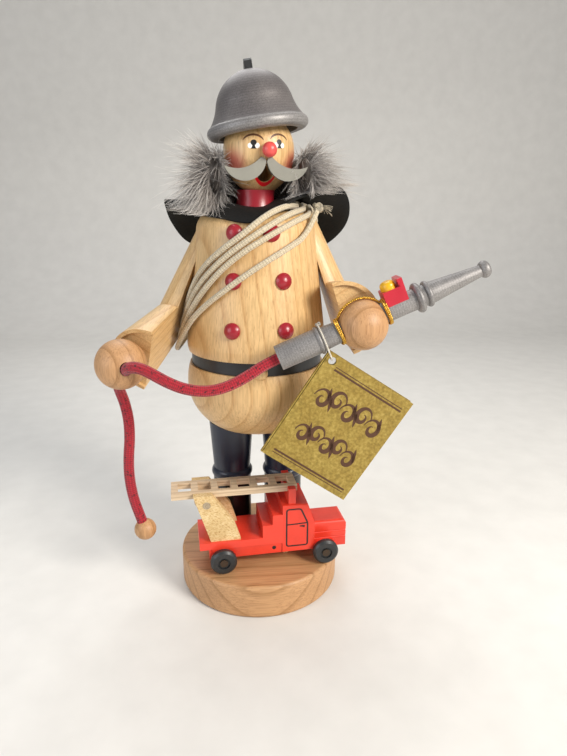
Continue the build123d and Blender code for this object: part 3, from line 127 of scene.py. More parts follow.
# Clear wood: growth rings round a pith, long fibres and short pores give the eye its grain, wax its shine
def makeWood(name, look, turn=(0, 0, 0), pith=(42, 30, 0)):
    material, tree, shader, spot = startMaterial(name, turn, pith)
    pale, dark, gloss = look["pale"], look["dark"], look["gloss"]
    along = addNode(tree, "Mapping", {"Vector": spot, "Scale": (1.0, 1.0, grain["stretch"])})
    rings = addNode(tree, "TexWave", {
        "Vector": spot, "Scale": waveShare * scaleFor(look["ring"]), "Distortion": 2.2, "Detail": 2.0,
        "Detail Scale": 0.09, "Detail Roughness": 0.5,
    }, wave_type="RINGS", rings_direction="Z", wave_profile="SAW")
    fibres, patches, pores = [
        addNode(tree, "TexNoise", {"Vector": along, "Scale": scaleFor(grain[kind]), "Detail": detail})
        for kind, detail in (("fibre", 4.0), ("patch", 2.0), ("pore", 1.0))]
    ringTone = addNode(tree, "ValToRGB", {"Fac": rings}, stops=(
        (0.0, pale), (0.72, pale), (0.95, dark), (1.0, pale)))
    patchTone = addNode(tree, "ValToRGB", {"Fac": patches}, stops=((0.3, dark), (0.62, pale)))
    fibreTone = addNode(tree, "ValToRGB", {"Fac": fibres}, stops=((0.35, 0xD8D0C6), (0.6, 0xFFFFFF)))
    poreTone = addNode(tree, "ValToRGB", {"Fac": pores}, stops=((0.30, 0xB59A7C), (0.38, 0xFFFFFF)))
    toned = addNode(tree, "Mix", {0: 0.3, 6: ringTone, 7: patchTone}, **mixed)
    grained = addNode(tree, "Mix", {0: 0.55, 6: toned, 7: fibreTone}, **stained)
    raised = addNode(tree, "Bump", {
        "Height": fibres, "Distance": grain["fibreDepth"] * unit, "Strength": 1.0})
    setInputs(tree, shader, {
        "Base Color": addNode(tree, "Mix", {0: 0.42, 6: grained, 7: poreTone}, **stained),
        "Roughness": addNode(tree, "MapRange", {
            "Value": fibres, "To Min": gloss - 0.06, "To Max": gloss + 0.12}),
        "Normal": addNode(tree, "Bump", {
            "Height": pores, "Distance": grain["poreDepth"] * unit, "Strength": 1.0, "Normal": raised}),
        "Coat Weight": 0.12, "Coat Roughness": 0.35,
    })
    return material


blush = {"angle": 60, "rise": -6.5, "from": 2.0, "to": 9.0, "most": 0.8, "colour": 0xBC4444}


# Limewood head: clear lacquer over pale wood, with a red blush sprayed on both cheeks
def makeHeadWood():
    material = makeWood("paintedHead", woods["lime"], (0, 0, 0), (60, 45, 0))
    tree = material.node_tree
    shader = tree.nodes["Principled BSDF"]
    blushed = shader.inputs["Base Color"].links[0].from_socket
    spot = addNode(tree, "TexCoord", {}, "Object")
    for side in (-1, 1):
        cheek = headSpot(side * blush["angle"], blush["rise"], 0.0)
        gap = addNode(tree, "VectorMath", {0: spot, 1: cheek}, "Value", operation="DISTANCE")
        fade = addNode(tree, "MapRange", {
            "Value": gap, "From Min": blush["from"] * unit, "From Max": blush["to"] * unit,
            "To Min": blush["most"], "To Max": 0.0,
        }, interpolation_type="SMOOTHSTEP")
        blushed = addNode(tree, "Mix", {0: fade, 6: blushed, 7: linear(blush["colour"])}, **mixed)
    setInputs(tree, shader, {"Base Color": blushed})
    return material


lacquers = {  # sprayed nitro lacquer on turned or sawn wood, from satin to nearly matte
    "navy": {"colour": 0x162036, "gloss": 0.32, "below": (45.5, 0x08080A)},  # trousers; the boots are black
    "black": {"colour": 0x0A0B0D, "gloss": 0.4},
    "comb": {"colour": 0x040506, "gloss": 0.5},
    "wheel": {"colour": 0x1D1F20, "gloss": 0.45},
    "coral": {"colour": 0xE2554F, "gloss": 0.3},
    "darkRed": {"colour": 0x9E1626, "gloss": 0.3},
    "crimson": {"colour": 0xB5162C, "gloss": 0.28},
    "engineRed": {"colour": 0xE0341B, "gloss": 0.3},
    "grey": {"colour": 0x838176, "gloss": 0.5},
    "yellow": {"colour": 0xE8B016, "gloss": 0.28},
}


# Sprayed lacquer: slight mottle, the grain showing through in the gloss, paler where edges rub
def makeLacquer(name, look, turn=(0, 0, 0)):
    material, tree, shader, spot = startMaterial(name, turn)
    along = addNode(tree, "Mapping", {"Vector": spot, "Scale": (1.0, 1.0, 0.06)})
    fibres = addNode(tree, "TexNoise", {"Vector": along, "Scale": scaleFor(1.11), "Detail": 3.0})
    mottle = addNode(tree, "TexNoise", {"Vector": spot, "Scale": scaleFor(6.25), "Detail": 4.0})
    colour, gloss = look["colour"], look["gloss"]
    body = addNode(tree, "Mix", {0: mottle, 6: shaded(colour, 0.74), 7: shaded(colour, 1.12, 0.006)}, **mixed)
    if "below" in look:  # a second colour up to a height, masked before spraying
        height, lower = look["below"]
        above = addNode(tree, "MapRange", {
            "Value": addNode(tree, "SeparateXYZ", {"Vector": spot}, "Z"),
            "From Min": (height - 0.15) * unit, "From Max": (height + 0.15) * unit,
        })
        body = addNode(tree, "Mix", {0: above, 6: linear(lower), 7: body}, **mixed)
    edge = addNode(tree, "NewGeometry", {}, "Pointiness")
    worn = addNode(tree, "ValToRGB", {"Fac": edge}, stops=((0.56, 0x000000), (0.74, 0xFFFFFF)))
    rubbed = addNode(tree, "MapRange", {"Value": worn, "To Min": 0.0, "To Max": 0.5})
    setInputs(tree, shader, {
        "Base Color": addNode(tree, "Mix", {0: rubbed, 6: body, 7: shaded(colour, 1.5, 0.03)}, **mixed),
        "Roughness": addNode(tree, "MapRange", {
            "Value": fibres, "To Min": gloss - 0.06, "To Max": gloss + 0.14}),
        "Normal": addNode(tree, "Bump", {"Height": fibres, "Distance": 0.04 * unit, "Strength": 1.0}),
        "Coat Weight": 0.25, "Coat Roughness": 0.22,
    })
    return material


# Silver bronze paint on turned wood: lathe lines round the axis under a dull, cloudy flake
def makeSilver(name, turn, origin, rimTop=None):
    material, tree, shader, spot = startMaterial(name, turn, origin)
    lines = addNode(tree, "TexWave", {
        "Vector": spot, "Scale": waveShare * scaleFor(1.0), "Distortion": 0.5,
        "Detail": 2.0, "Detail Scale": 0.4,
    }, wave_type="BANDS", bands_direction="Z")
    flake = addNode(tree, "TexNoise", {"Vector": spot, "Scale": scaleFor(0.455), "Detail": 2.0})
    cloud = addNode(tree, "TexNoise", {"Vector": spot, "Scale": scaleFor(14.3), "Detail": 3.0})
    flakes = addNode(tree, "ValToRGB", {"Fac": flake}, stops=((0.3, 0x84817F), (0.7, 0xA6A3A0)))
    clouds = addNode(tree, "ValToRGB", {"Fac": cloud}, stops=((0.35, 0xD9D9DB), (0.65, 0xFFFFFF)))
    lined = addNode(tree, "ValToRGB", {"Fac": lines}, stops=((0.2, 0xE9E8E8), (0.7, 0xFFFFFF)))
    tone = addNode(tree, "Mix", {0: 0.8, 6: flakes, 7: clouds}, **stained)
    silvered = addNode(tree, "Mix", {0: 0.6, 6: tone, 7: lined}, **stained)
    if rimTop is not None:  # the crown above the rim's top is coloured darker than the rolled rim
        crown = addNode(tree, "MapRange", {
            "Value": addNode(tree, "SeparateXYZ", {"Vector": spot}, "Z"),
            "From Min": (rimTop - 0.4) * unit, "From Max": (rimTop + 0.4) * unit,
        })
        darkCrownTone = addNode(tree, "Mix", {0: 1.0, 6: silvered, 7: linear(0xCBC6C6)}, **stained)
        silvered = addNode(tree, "Mix", {0: crown, 6: silvered, 7: darkCrownTone}, **mixed)
    turned = addNode(tree, "Bump", {"Height": lines, "Distance": 0.005 * unit, "Strength": 1.0})
    setInputs(tree, shader, {
        "Base Color": silvered,
        "Roughness": addNode(tree, "MapRange", {"Value": flake, "To Min": 0.42, "To Max": 0.56}),
        "Normal": addNode(tree, "Bump", {
            "Height": flake, "Distance": 0.012 * unit, "Strength": 1.0, "Normal": turned}),
        "Metallic": 0.38,
    })
    return material


# Black split leather, dyed through and left matte: pebbled grain 0.9 mm across, with a brown bloom
def makeLeather():
    material, tree, shader, spot = startMaterial("splitLeather")
    pebbles = addNode(tree, "TexVoronoi", {"Vector": spot, "Scale": scaleFor(0.909)})
    bloom = addNode(tree, "TexNoise", {"Vector": spot, "Scale": scaleFor(8.33), "Detail": 5.0})
    setInputs(tree, shader, {
        "Base Color": addNode(tree, "ValToRGB", {"Fac": bloom}, stops=((0.35, 0x0A0A0A), (0.75, 0x1A1814))),
        "Roughness": addNode(tree, "MapRange", {"Value": bloom, "To Min": 0.62, "To Max": 0.82}),
        "Normal": addNode(tree, "Bump", {"Height": pebbles, "Distance": 0.08 * unit, "Strength": 1.0}),
        "Specular IOR Level": 0.3,
    })
    return material


# Braided yarn, from the curve's own map: strands crossing both ways, fuzzy, flecked and soft, with painted
# shade in the hollows between strands
def makeBraid(name, pale, dark, fleck, along, around):
    material, tree, shader, spot = startMaterial(name)
    mapped = addNode(tree, "TexCoord", {}, "UV")
    lengthwise, ringwise = [addNode(tree, "SeparateXYZ", {"Vector": mapped}, axis) for axis in "XY"]
    waves = []
    for side in (1, -1):
        run = addNode(tree, "Math", {0: lengthwise, 1: 2 * pi * along}, operation="MULTIPLY")
        ring = addNode(tree, "Math", {0: ringwise, 1: 2 * pi * around * side}, operation="MULTIPLY")
        waves.append(addNode(tree, "Math", {
            0: addNode(tree, "Math", {0: run, 1: ring}, operation="ADD")}, operation="SINE"))
    weave = addNode(tree, "Math", {0: waves[0], 1: waves[1]}, operation="MULTIPLY")
    height = addNode(tree, "MapRange", {"Value": weave, "From Min": -1.0, "To Min": 0.0, "To Max": 1.0})
    yarn = addNode(tree, "TexNoise", {"Vector": spot, "Scale": scaleFor(0.385), "Detail": 3.0})
    flecks = addNode(tree, "TexNoise", {"Vector": spot, "Scale": scaleFor(1.11), "Detail": 2.0})
    # Dark in the weave's hollows and pale on its crests: painted shade between the strands
    tone = addNode(tree, "Mix", {0: height, 6: linear(dark), 7: linear(pale)}, **mixed)
    fuzz = addNode(tree, "ValToRGB", {"Fac": yarn}, stops=((0.3, 0xC9C9C9), (0.65, 0xFFFFFF)))
    toned = addNode(tree, "Mix", {0: 0.8, 6: tone, 7: fuzz}, **stained)
    where = addNode(tree, "ValToRGB", {"Fac": flecks}, stops=((0.58, 0x000000), (0.66, 0xFFFFFF)))
    woven = addNode(tree, "Bump", {"Height": height, "Distance": 0.22 * unit, "Strength": 1.0})
    setInputs(tree, shader, {
        "Base Color": addNode(tree, "Mix", {0: where, 6: toned, 7: linear(fleck)}, **mixed),
        "Normal": addNode(tree, "Bump", {
            "Height": yarn, "Distance": 0.06 * unit, "Strength": 1.0, "Normal": woven}),
        "Roughness": 0.85, "Sheen Weight": 0.3,
    })
    return material


# Rabbit fur, tanned and combed: each hair dark at the root and frosted at the tip, by the mesh's own tone
def makeFurMaterial():
    material, tree, shader = startMaterial("rabbitFur")[:3]
    tone = addNode(tree, "Attribute", {}, "Fac", attribute_name="tone")
    setInputs(tree, shader, {
        "Base Color": addNode(tree, "ValToRGB", {"Fac": tone}, stops=(
            (0.0, 0x6C655F), (0.4, 0x9A928B), (0.75, 0xC8C1B9), (1.0, 0xECE7E0))),
        "Roughness": 0.55, "Sheen Weight": 0.4,
    })
    return material


# Gold foil wound on elastic: small crumpled glints, 0.3 mm apart
def makeGold():
    material, tree, shader, spot = startMaterial("goldFoilElastic")
    glint = addNode(tree, "TexNoise", {"Vector": spot, "Scale": scaleFor(0.333), "Detail": 2.0})
    setInputs(tree, shader, {
        "Base Color": addNode(tree, "ValToRGB", {"Fac": glint}, stops=((0.3, 0x9A6A1C), (0.6, 0xE9BE58))),
        "Roughness": addNode(tree, "MapRange", {"Value": glint, "To Min": 0.2, "To Max": 0.45}),
        "Metallic": 1.0,
    })
    return material


# Pressed brass or drawn steel: fine lines that catch the light unevenly
def makeMetal(name, colour, roughness):
    material, tree, shader, spot = startMaterial(name)
    lines = addNode(tree, "TexNoise", {"Vector": spot, "Scale": scaleFor(0.556), "Detail": 2.0})
    setInputs(tree, shader, {
        "Base Color": addNode(tree, "Mix", {0: lines, 6: shaded(colour, 0.8), 7: linear(colour)}, **mixed),
        "Roughness": addNode(tree, "MapRange", {
            "Value": lines, "To Min": roughness - 0.08, "To Max": roughness + 0.1}),
        "Metallic": 1.0,
    })
    return material


# Uncoated card, printed gold-olive all over: 1 mm specks in 4 mm clouds, faintly toothed
def makeCard():
    material, tree, shader, spot = startMaterial("mottledCard")
    speck = addNode(tree, "TexNoise", {"Vector": spot, "Scale": scaleFor(1.11), "Detail": 4.0})
    cloud = addNode(tree, "TexNoise", {"Vector": spot, "Scale": scaleFor(4.17), "Detail": 4.0})
    specks = addNode(tree, "ValToRGB", {"Fac": speck}, stops=(
        (0.35, 0x8A742E), (0.55, 0xA0883C), (0.7, 0xB29A50)))
    clouds = addNode(tree, "ValToRGB", {"Fac": cloud}, stops=((0.35, 0xE8E0C8), (0.65, 0xFFFFFF)))
    setInputs(tree, shader, {
        "Base Color": addNode(tree, "Mix", {0: 0.8, 6: specks, 7: clouds}, **stained),
        "Roughness": addNode(tree, "MapRange", {"Value": cloud, "To Min": 0.42, "To Max": 0.6}),
        "Normal": addNode(tree, "Bump", {"Height": speck, "Distance": 0.02 * unit, "Strength": 1.0}),
    })
    return material


# Brushed enamel or printing ink: nearly even, thinner in places 1.4 mm across
def makePaint(name, colour, roughness=0.4):
    material, tree, shader, spot = startMaterial(name)
    thin = addNode(tree, "TexNoise", {"Vector": spot, "Scale": scaleFor(1.43), "Detail": 3.0})
    setInputs(tree, shader, {
        "Base Color": addNode(tree, "Mix", {
            0: thin, 6: linear(colour), 7: shaded(colour, 1.25, 0.01)}, **mixed),
        "Roughness": roughness,
    })
    return material


# Birch plywood, sawn on the slant and left bare: pale plies flecked with brown
def makePly():
    material, tree, shader, spot = startMaterial("birchPly", (0, radians(25), 0))
    short = addNode(tree, "Mapping", {"Vector": spot, "Scale": (0.35, 1.0, 1.0)})
    flecks = addNode(tree, "TexNoise", {"Vector": short, "Scale": scaleFor(0.385), "Detail": 2.0})
    clouds = addNode(tree, "TexNoise", {"Vector": spot, "Scale": scaleFor(6.25), "Detail": 2.0})
    tone = addNode(tree, "ValToRGB", {"Fac": flecks}, stops=(
        (0.34, 0xC09A62), (0.46, 0xDDC08A), (0.7, 0xE6D2A6)))
    shade = addNode(tree, "ValToRGB", {"Fac": clouds}, stops=((0.3, 0xE2D6C2), (0.7, 0xFFFFFF)))
    setInputs(tree, shader, {
        "Base Color": addNode(tree, "Mix", {0: 0.7, 6: tone, 7: shade}, **stained),
        "Normal": addNode(tree, "Bump", {"Height": flecks, "Distance": 0.025 * unit, "Strength": 1.0}),
        "Roughness": 0.65,
    })
    return material


# A point on the face, by the angle from its middle and the height from the head's centre
def headSpot(angle, rise, off):
    turn = radians(figure["headYaw"] + angle)
    reach = sqrt(max(figure["headRadius"] ** 2 - rise**2, 0)) if rise >= 0 else faceReach(rise)
    reach += off
    return Vector((
        figure["headShift"] + reach * sin(turn), figure["axisY"] - reach * cos(turn),
        figure["headCentre"] + rise,
    )) * unit


# Radius of the lower face, an arc through the chin, the cheek and the head's middle
def faceReach(rise):
    centre, radius = circleThrough((6.4, -15.6), (12.5, -9.2), (14.6, 0.0))
    return centre[0] + sqrt(max(radius**2 - (rise - centre[1]) ** 2, 0))


# Centre and radius of the circle through three points
def circleThrough(a, b, c):
    d = 2 * (a[0] * (b[1] - c[1]) + b[0] * (c[1] - a[1]) + c[0] * (a[1] - b[1]))
    squares = [p[0] ** 2 + p[1] ** 2 for p in (a, b, c)]
    x = (squares[0] * (b[1] - c[1]) + squares[1] * (c[1] - a[1]) + squares[2] * (a[1] - b[1])) / d
    y = (squares[0] * (c[0] - b[0]) + squares[1] * (a[0] - c[0]) + squares[2] * (b[0] - a[0])) / d
    return (x, y), hypot(a[0] - x, a[1] - y)


# A point round the figure's own axis, by angle from the front
def roundFigure(angle, reach, height):
    turn = radians(angle)
    return Vector((reach * sin(turn), figure["axisY"] - reach * cos(turn), height))


# Put an object into the scene, on its body, with its material
def place(thing, name, body, material):
    made = bpy.data.objects.new(name, thing)
    bpy.context.collection.objects.link(made)
    made.data.materials.append(material)
    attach(made, body)
    return made


# A smooth mesh from points in metres and faces
def makeMesh(name, points, faces):
    mesh = bpy.data.meshes.new(name)
    mesh.from_pydata(points, [], faces)
    mesh.polygons.foreach_set("use_smooth", [True] * len(mesh.polygons))
    mesh.update()
    return mesh


# A round curve for cords, with one spline if points are given
def makeCurve(name, points, radius, closed=False):
    curve = bpy.data.curves.new(name, "CURVE")
    curve.dimensions = "3D"
    curve.bevel_depth = radius * unit
    curve.bevel_resolution = 4
    curve.use_fill_caps = True
    if points:
        addSpline(curve, points, closed)
    return curve


# One open or closed smooth spline through its control points in metres
def addSpline(curve, points, closed=False):
    spline = curve.splines.new("NURBS")
    spline.points.add(len(points) - 1)
    for control, point in zip(spline.points, points):
        control.co = (*point, 1.0)
    spline.order_u = 3
    spline.resolution_u = 6
    spline.use_cyclic_u = closed
    spline.use_endpoint_u = not closed
    return spline


camera = {
    "place": (-13.9, -240.9, 169.3), "turn": 5.93, "down": 16.78, "roll": 0.36,
    "focalPixels": 572.0, "imageHeight": 756.0, "sensor": 36.0,
}


# Camera where the photograph was taken from
def makeCamera():
    turn, down, roll = radians(camera["turn"]), radians(camera["down"]), radians(camera["roll"])
    ahead = Vector((sin(turn) * cos(down), cos(turn) * cos(down), -sin(down)))
    level = Vector((cos(turn), -sin(turn), 0))
    upright = level.cross(ahead)
    right = level * cos(roll) + upright * sin(roll)
    up = upright * cos(roll) - level * sin(roll)
    data = bpy.data.cameras.new("camera")
    data.sensor_fit = "VERTICAL"
    data.sensor_height = camera["sensor"]
    data.lens = camera["sensor"] * camera["focalPixels"] / camera["imageHeight"]
    made = bpy.data.objects.new("camera", data)
    turned = Matrix((right, up, -ahead)).transposed().to_4x4()
    made.matrix_world = Matrix.Translation(Vector(camera["place"]) * unit) @ turned
    bpy.context.collection.objects.link(made)
    bpy.context.scene.camera = made


lamps = (
    {"name": "key", "place": (420, -420, 420), "size": 260, "power": 5.2, "colour": 0xFFF9F1},
    {"name": "fill", "place": (-460, -300, 260), "size": 420, "power": 1.3, "colour": 0xF3F8FF},
    {"name": "top", "place": (-60, 260, 560), "size": 420, "power": 1.6, "colour": 0xFFFFFF},
)
room = {
    "middle": (0, 0, 115), "air": 0xEAECF1, "light": 0.36,
    "front": -900, "back": 500, "sweep": 200, "wall": 1400, "half": 1400,
}


# A big soft key from the front right, a weak fill from the left and a plain pale room
def makeLights():
    for lamp in lamps:
        data = bpy.data.lights.new(lamp["name"], "AREA")
        data.shape = "DISK"
        data.size = lamp["size"] * unit
        data.energy = lamp["power"]
        data.color = linear(lamp["colour"])[:3]
        made = bpy.data.objects.new(lamp["name"], data)
        made.location = Vector(lamp["place"]) * unit
        aim = Vector(room["middle"]) - Vector(lamp["place"])
        made.rotation_euler = aim.to_track_quat("-Z", "Y").to_euler()
        bpy.context.collection.objects.link(made)
    world = bpy.data.worlds.new("paleRoom")
    bpy.context.scene.world = world
    world.use_nodes = True
    setInputs(world.node_tree, world.node_tree.nodes["Background"], {
        "Color": linear(room["air"]), "Strength": room["light"]})
    bpy.context.scene.view_settings.view_transform = "Standard"


# Pale backdrop paper: a floor that curves up behind into a wall, with a faint tooth
def makeFloor():
    back, sweep = room["back"], room["sweep"]
    profile = [(room["front"], 0), (back, 0)]
    profile += [(back + sweep * sin(a * pi / 16), sweep - sweep * cos(a * pi / 16)) for a in range(1, 9)]
    profile.append((back + sweep, room["wall"]))
    points = [(side * room["half"] * unit, y * unit, z * unit) for y, z in profile for side in (-1, 1)]
    faces = [(2 * i, 2 * i + 1, 2 * i + 3, 2 * i + 2) for i in range(len(profile) - 1)]
    made = bpy.data.objects.new("floor", makeMesh("floor", points, faces))
    bpy.context.collection.objects.link(made)
    material, tree, shader, spot = startMaterial("palePaper")
    tooth = addNode(tree, "TexNoise", {"Vector": spot, "Scale": scaleFor(16.7), "Detail": 3.0})
    setInputs(tree, shader, {
        "Base Color": addNode(tree, "ValToRGB", {"Fac": tooth}, stops=((0.3, 0xDAD8D3), (0.7, 0xE0DED9))),
        "Roughness": 0.7,
    })
    made.data.materials.append(material)


grainWays = {  # direction of the fibres in the pieces that lean, as they were cut
    "lying": (1, 0, 0), "armRight": (0.326, 0, -0.946), "armLeft": (-0.31, 0.0, -0.95),
    "foreRight": (0, -1, 0), "foreLeft": (-0.24, -0.9, -0.36), "nozzle": (0.9205, 0, 0.3907),
    "ladder": (0.996, 0.087, 0),
}
dress = {  # which CAD pieces wear which finish
    "beech": ("base_disc",), "beechBall": ("hand_left", "hand_right", "hose_bead"),
    "lime": ("skirt", "jacket", "belt_buckle", "engine_dowel", "wrist_dowels"),
    "limeRight": ("upper_arm_right",), "limeLeft": ("upper_arm_left",),
    "foreRight": ("forearm_right",), "foreLeft": ("forearm_left",), "head": ("head",),
    "navy": ("leg_left", "leg_right"), "black": ("belt",), "comb": ("helmet_comb",),
    "wheel": ("wheel_rear_near", "wheel_rear_far", "wheel_front_near", "wheel_front_far"),
    "coral": ("nose",), "darkRed": ("neck_ring", "buttons"), "crimson": ("valve_block",),
    "engineRed": ("chassis", "bed", "steps", "front_axle_block", "cab", "bonnet", "ladder_rest"),
    "grey": ("moustache_left", "moustache_right"), "yellow": ("valve_knob",),
    "helmet": ("helmet",), "nozzle": ("nozzle",), "leather": ("neck_guard",),
    "brass": ("incense_dish",), "steel": ("dish_nail",), "dullSteel": ("rear_axle", "front_axle"),
    "ladder": ("ladder", "ladder_block"), "dowel": ("ladder_dowel",),
    "ply": ("ladder_bracket_near", "ladder_bracket_far"), "card": ("tag_back", "tag_front"),
}
edges = {  # width of the small broken edge on sawn and glued pieces
    "moustache_left": 0.6, "moustache_right": 0.6, "cab": 0.5, "bonnet": 0.3,
    "bed": 0.35, "steps": 0.35, "chassis": 0.3, "ladder_rest": 0.4, "ladder": 0.2, "belt": 0.3,
    "ladder_bracket_near": 0.2, "ladder_bracket_far": 0.2, "valve_block": 0.5, "helmet_comb": 0.5,
    "forearm_left": 0.35, "forearm_right": 0.35, "upper_arm_left": 0.3, "upper_arm_right": 0.3,
    "tag_front": 0.12, "tag_back": 0.12, "neck_guard": 0.25, "nozzle": 0.25,
    "wheel_rear_near": 0.5, "wheel_rear_far": 0.5, "wheel_front_near": 0.5, "wheel_front_far": 0.5,
}


# Give carried-over CAD pieces their materials and a small broken edge
def dressNodes():
    turns = {name: Vector(way).to_track_quat("Z", "Y").to_euler() for name, way in grainWays.items()}
    lime = woods["lime"]
    looks = {
        "lime": makeWood("waxedLime", lime),
        "limeRight": makeWood("waxedLimeArmRight", lime, turns["armRight"], (60, 20, 100)),
        "limeLeft": makeWood("waxedLimeArmLeft", lime, turns["armLeft"], (-60, 30, 100)),
        "foreRight": makeWood("waxedLimeForearmRight", lime, turns["foreRight"], (60, 0, 90)),
        "foreLeft": makeWood("waxedLimeForearmLeft", lime, turns["foreLeft"], (-60, 0, 90)),
        "beech": makeWood("oiledBeech", woods["beech"], turns["lying"], (0, 40, -30)),
        "beechBall": makeWood("oiledBeechBall", woods["beech"], (0, 0, 0), (20, 40, 0)),
        "head": makeHeadWood(),
        "ladder": makeWood("ladderWood", woods["ladder"], turns["ladder"], (0, -40, 80)),
        "dowel": makeWood("dowelEnd", woods["dowel"], turns["foreRight"], (-23, 0, 47)),
        "ply": makePly(),
        "helmet": makeSilver("silverPaint", (0, -radians(8.9), 0), (1.5, 12, 197), 5.0),
        "nozzle": makeSilver("silverPaintNozzle", turns["nozzle"], (6.1, -28.5, 113)),
        "leather": makeLeather(),
        "brass": makeMetal("pressedBrass", 0xC9A45A, 0.35),
        "steel": makeMetal("brightSteel", 0xB9BABD, 0.3),
        "dullSteel": makeMetal("brownedSteel", 0x5E5145, 0.55),
        "card": makeCard(),
    }
    for name, look in lacquers.items():
        turn = turns["lying"] if name == "engineRed" else (0, 0, 0)
        looks[name] = makeLacquer(name + "Lacquer", look, turn)
    for look, names in dress.items():
        for name in names:
            node = nodes[name]
            node.data.materials.clear()
            node.data.materials.append(looks[look])
            if name in edges:
                bevel = node.modifiers.new("brokenEdge", "BEVEL")
                bevel.width = edges[name] * unit
                bevel.segments = 3
                bevel.limit_method = "ANGLE"
                bevel.angle_limit = radians(38)
                bevel.harden_normals = True
    return looks


hose = {
    "radius": 2.2, "length": 157.2, "twists": 98, "strands": 6,
    "colours": (0xC3152D, 0x8A0D20, 0x4A0A14),  # pale crests, dark painted shade in the hollows between strands, and fleck
    "route": (
        (9.8, -28.5, 114.5), (1.5, -28.5, 111.0), (-6.2, -31.0, 106.4), (-14.3, -33.2, 103.0),
        (-21.8, -34.4, 101.9), (-29.7, -35.2, 103.4), (-36.0, -35.9, 106.6), (-40.6, -36.6, 109.8),
        (-43.6, -36.9, 111.7), (-46.2, -36.7, 112.6), (-48.7, -35.6, 112.4), (-50.5, -33.6, 111.4),
        (-57.2, -17.3, 101.3), (-57.3, -14.8, 97.6), (-55.8, -14.0, 92.2), (-54.5, -14.2, 84.4),
        (-54.7, -14.0, 75.6), (-55.9, -14.2, 66.5), (-56.2, -13.9, 57.4), (-55.2, -14.1, 48.4),
        (-53.2, -14.0, 40.4), (-51.2, -14.0, 33.4),
    ),
}


# Hose: from the nozzle's socket through the hand that holds it to the bead
def makeHose():
    route = [Vector(point) * unit for point in hose["route"]]
    braid = makeBraid("redBraid", *hose["colours"], hose["twists"], hose["strands"])
    made = place(makeCurve("hoseBraid", route, hose["radius"]), "hoseBraid", "upper", braid)
    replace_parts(made, "hose")
    print("hose made")


rope = {
    "radius": 1.15, "turns": 4, "step": 2.6, "length": 854.0, "twists": 420, "strands": 4,
    "colours": (0xE6D9BE, 0xC4B391, 0xD8CBB0),  # pale crests, dark painted shade in the hollows between strands, and fleck
    "outside": 1.014,  # control points stand a little outside a turn: the spline runs inside them
    "lift": 0.55, "standOff": 4.0, "droop": 6.0, "knotSpot": (66.0, 27.0, 0.1),
    # angle round the figure, share of the way down, spread, inner and outer strand's stand-off, droop
    "rows": (
        (90.0, 0.0, 1.1, 0.0, 0.0, 0.0), (68.6, 0.019, 1.0, 0.03, -0.07, 0.27),
        (45.0, 0.045, 1.0, 0.2, 0.0, 0.6), (24.4, 0.084, 1.05, 0.54, 0.16, 0.84),
        (5.0, 0.14, 1.15, 0.8, 0.3, 1.0),
        (-13.1, 0.223, 1.27, 0.63, 0.22, 1.03), (-30.0, 0.32, 1.45, 0.35, 0.1, 0.9),
        (-45.3, 0.417, 1.81, 0.15, 0.06, 0.44), (-60.0, 0.53, 2.1, 0.0, 0.1, 0.0),
        (-75.0, 0.704, 2.05, -0.02, 0.38, -0.06), (-90.0, 0.84, 1.9, 0.0, 0.6, 0.0),
        (-104.4, 0.828, 1.79, 0.0, 0.38, 0.0), (-120.0, 0.74, 1.7, 0.0, 0.1, 0.0),
        (-139.7, 0.6, 1.69, -0.01, 0.07, 0.0), (-160.0, 0.45, 1.7, 0.0, 0.1, 0.0),
        (-178.1, 0.353, 1.64, 0.04, 0.09, 0.0), (165.0, 0.27, 1.6, 0.1, 0.1, 0.0),
        (149.2, 0.177, 1.64, 0.17, 0.11, 0.0), (135.0, 0.09, 1.7, 0.25, 0.2, 0.0),
        (123.0, 0.014, 1.74, 0.42, 0.56, 0.0), (112.0, -0.035, 1.7, 0.5, 0.8, 0.0),
        (102.4, -0.028, 1.41, 0.25, 0.44, -0.04),
    ),
}


# Rope's control points: each turn placed on the jacket's own profile, from the knot to the hidden end
def ropeRoute():
    last = rope["turns"] - 1
    crown, top = jacket["crown"], jacket["top"]
    lift = rope["radius"] + rope["lift"]
    shoulder = jacket["bend"] * pi / 2
    skinLength = shoulder + hypot(jacket["flare"], jacket["side"])
    points = []
    for turn in range(rope["turns"]):
        for row, (angle, down, spread, inner, outer, droop) in enumerate(rope["rows"]):
            lane = last - turn - (0.5 if row == len(rope["rows"]) - 1 else 0)
            across = lane * rope["step"] * spread
            if row == 0:
                points.append(roundFigure(angle, crown + across, top + lift + rope["lift"]))
                continue
            distance = skinLength * down + across + (rope["droop"] * droop if turn == 0 else 0)
            off = lift + rope["standOff"] * (inner + (outer - inner) * lane / last)
            if distance < shoulder:
                bend = distance / jacket["bend"]
                reach = crown + (jacket["bendOut"] + off) * sin(bend)
                height = jacket["bendFoot"] + (jacket["bend"] + off) * cos(bend)
            else:
                share = (distance - shoulder) / (skinLength - shoulder)
                reach = jacket["shoulder"] + jacket["flare"] * share + off
                height = jacket["bendFoot"] - jacket["side"] * share
            points.append(roundFigure(angle, reach * rope["outside"], jacket["foot"] + height))
    points.append(roundFigure(90.0, crown - rope["step"] * 1.5, top + lift + rope["lift"]))
    angle, reach, height = rope["knotSpot"]
    points[0:2] = [roundFigure(angle, reach, top + height)]  # the first strand starts at its knot
    return points


knotLook = {"size": 0.62, "cord": 0.95, "back": 1.75, "axis": (0.35, -0.5, 0.8), "frays": 14, "fray": 0.16}


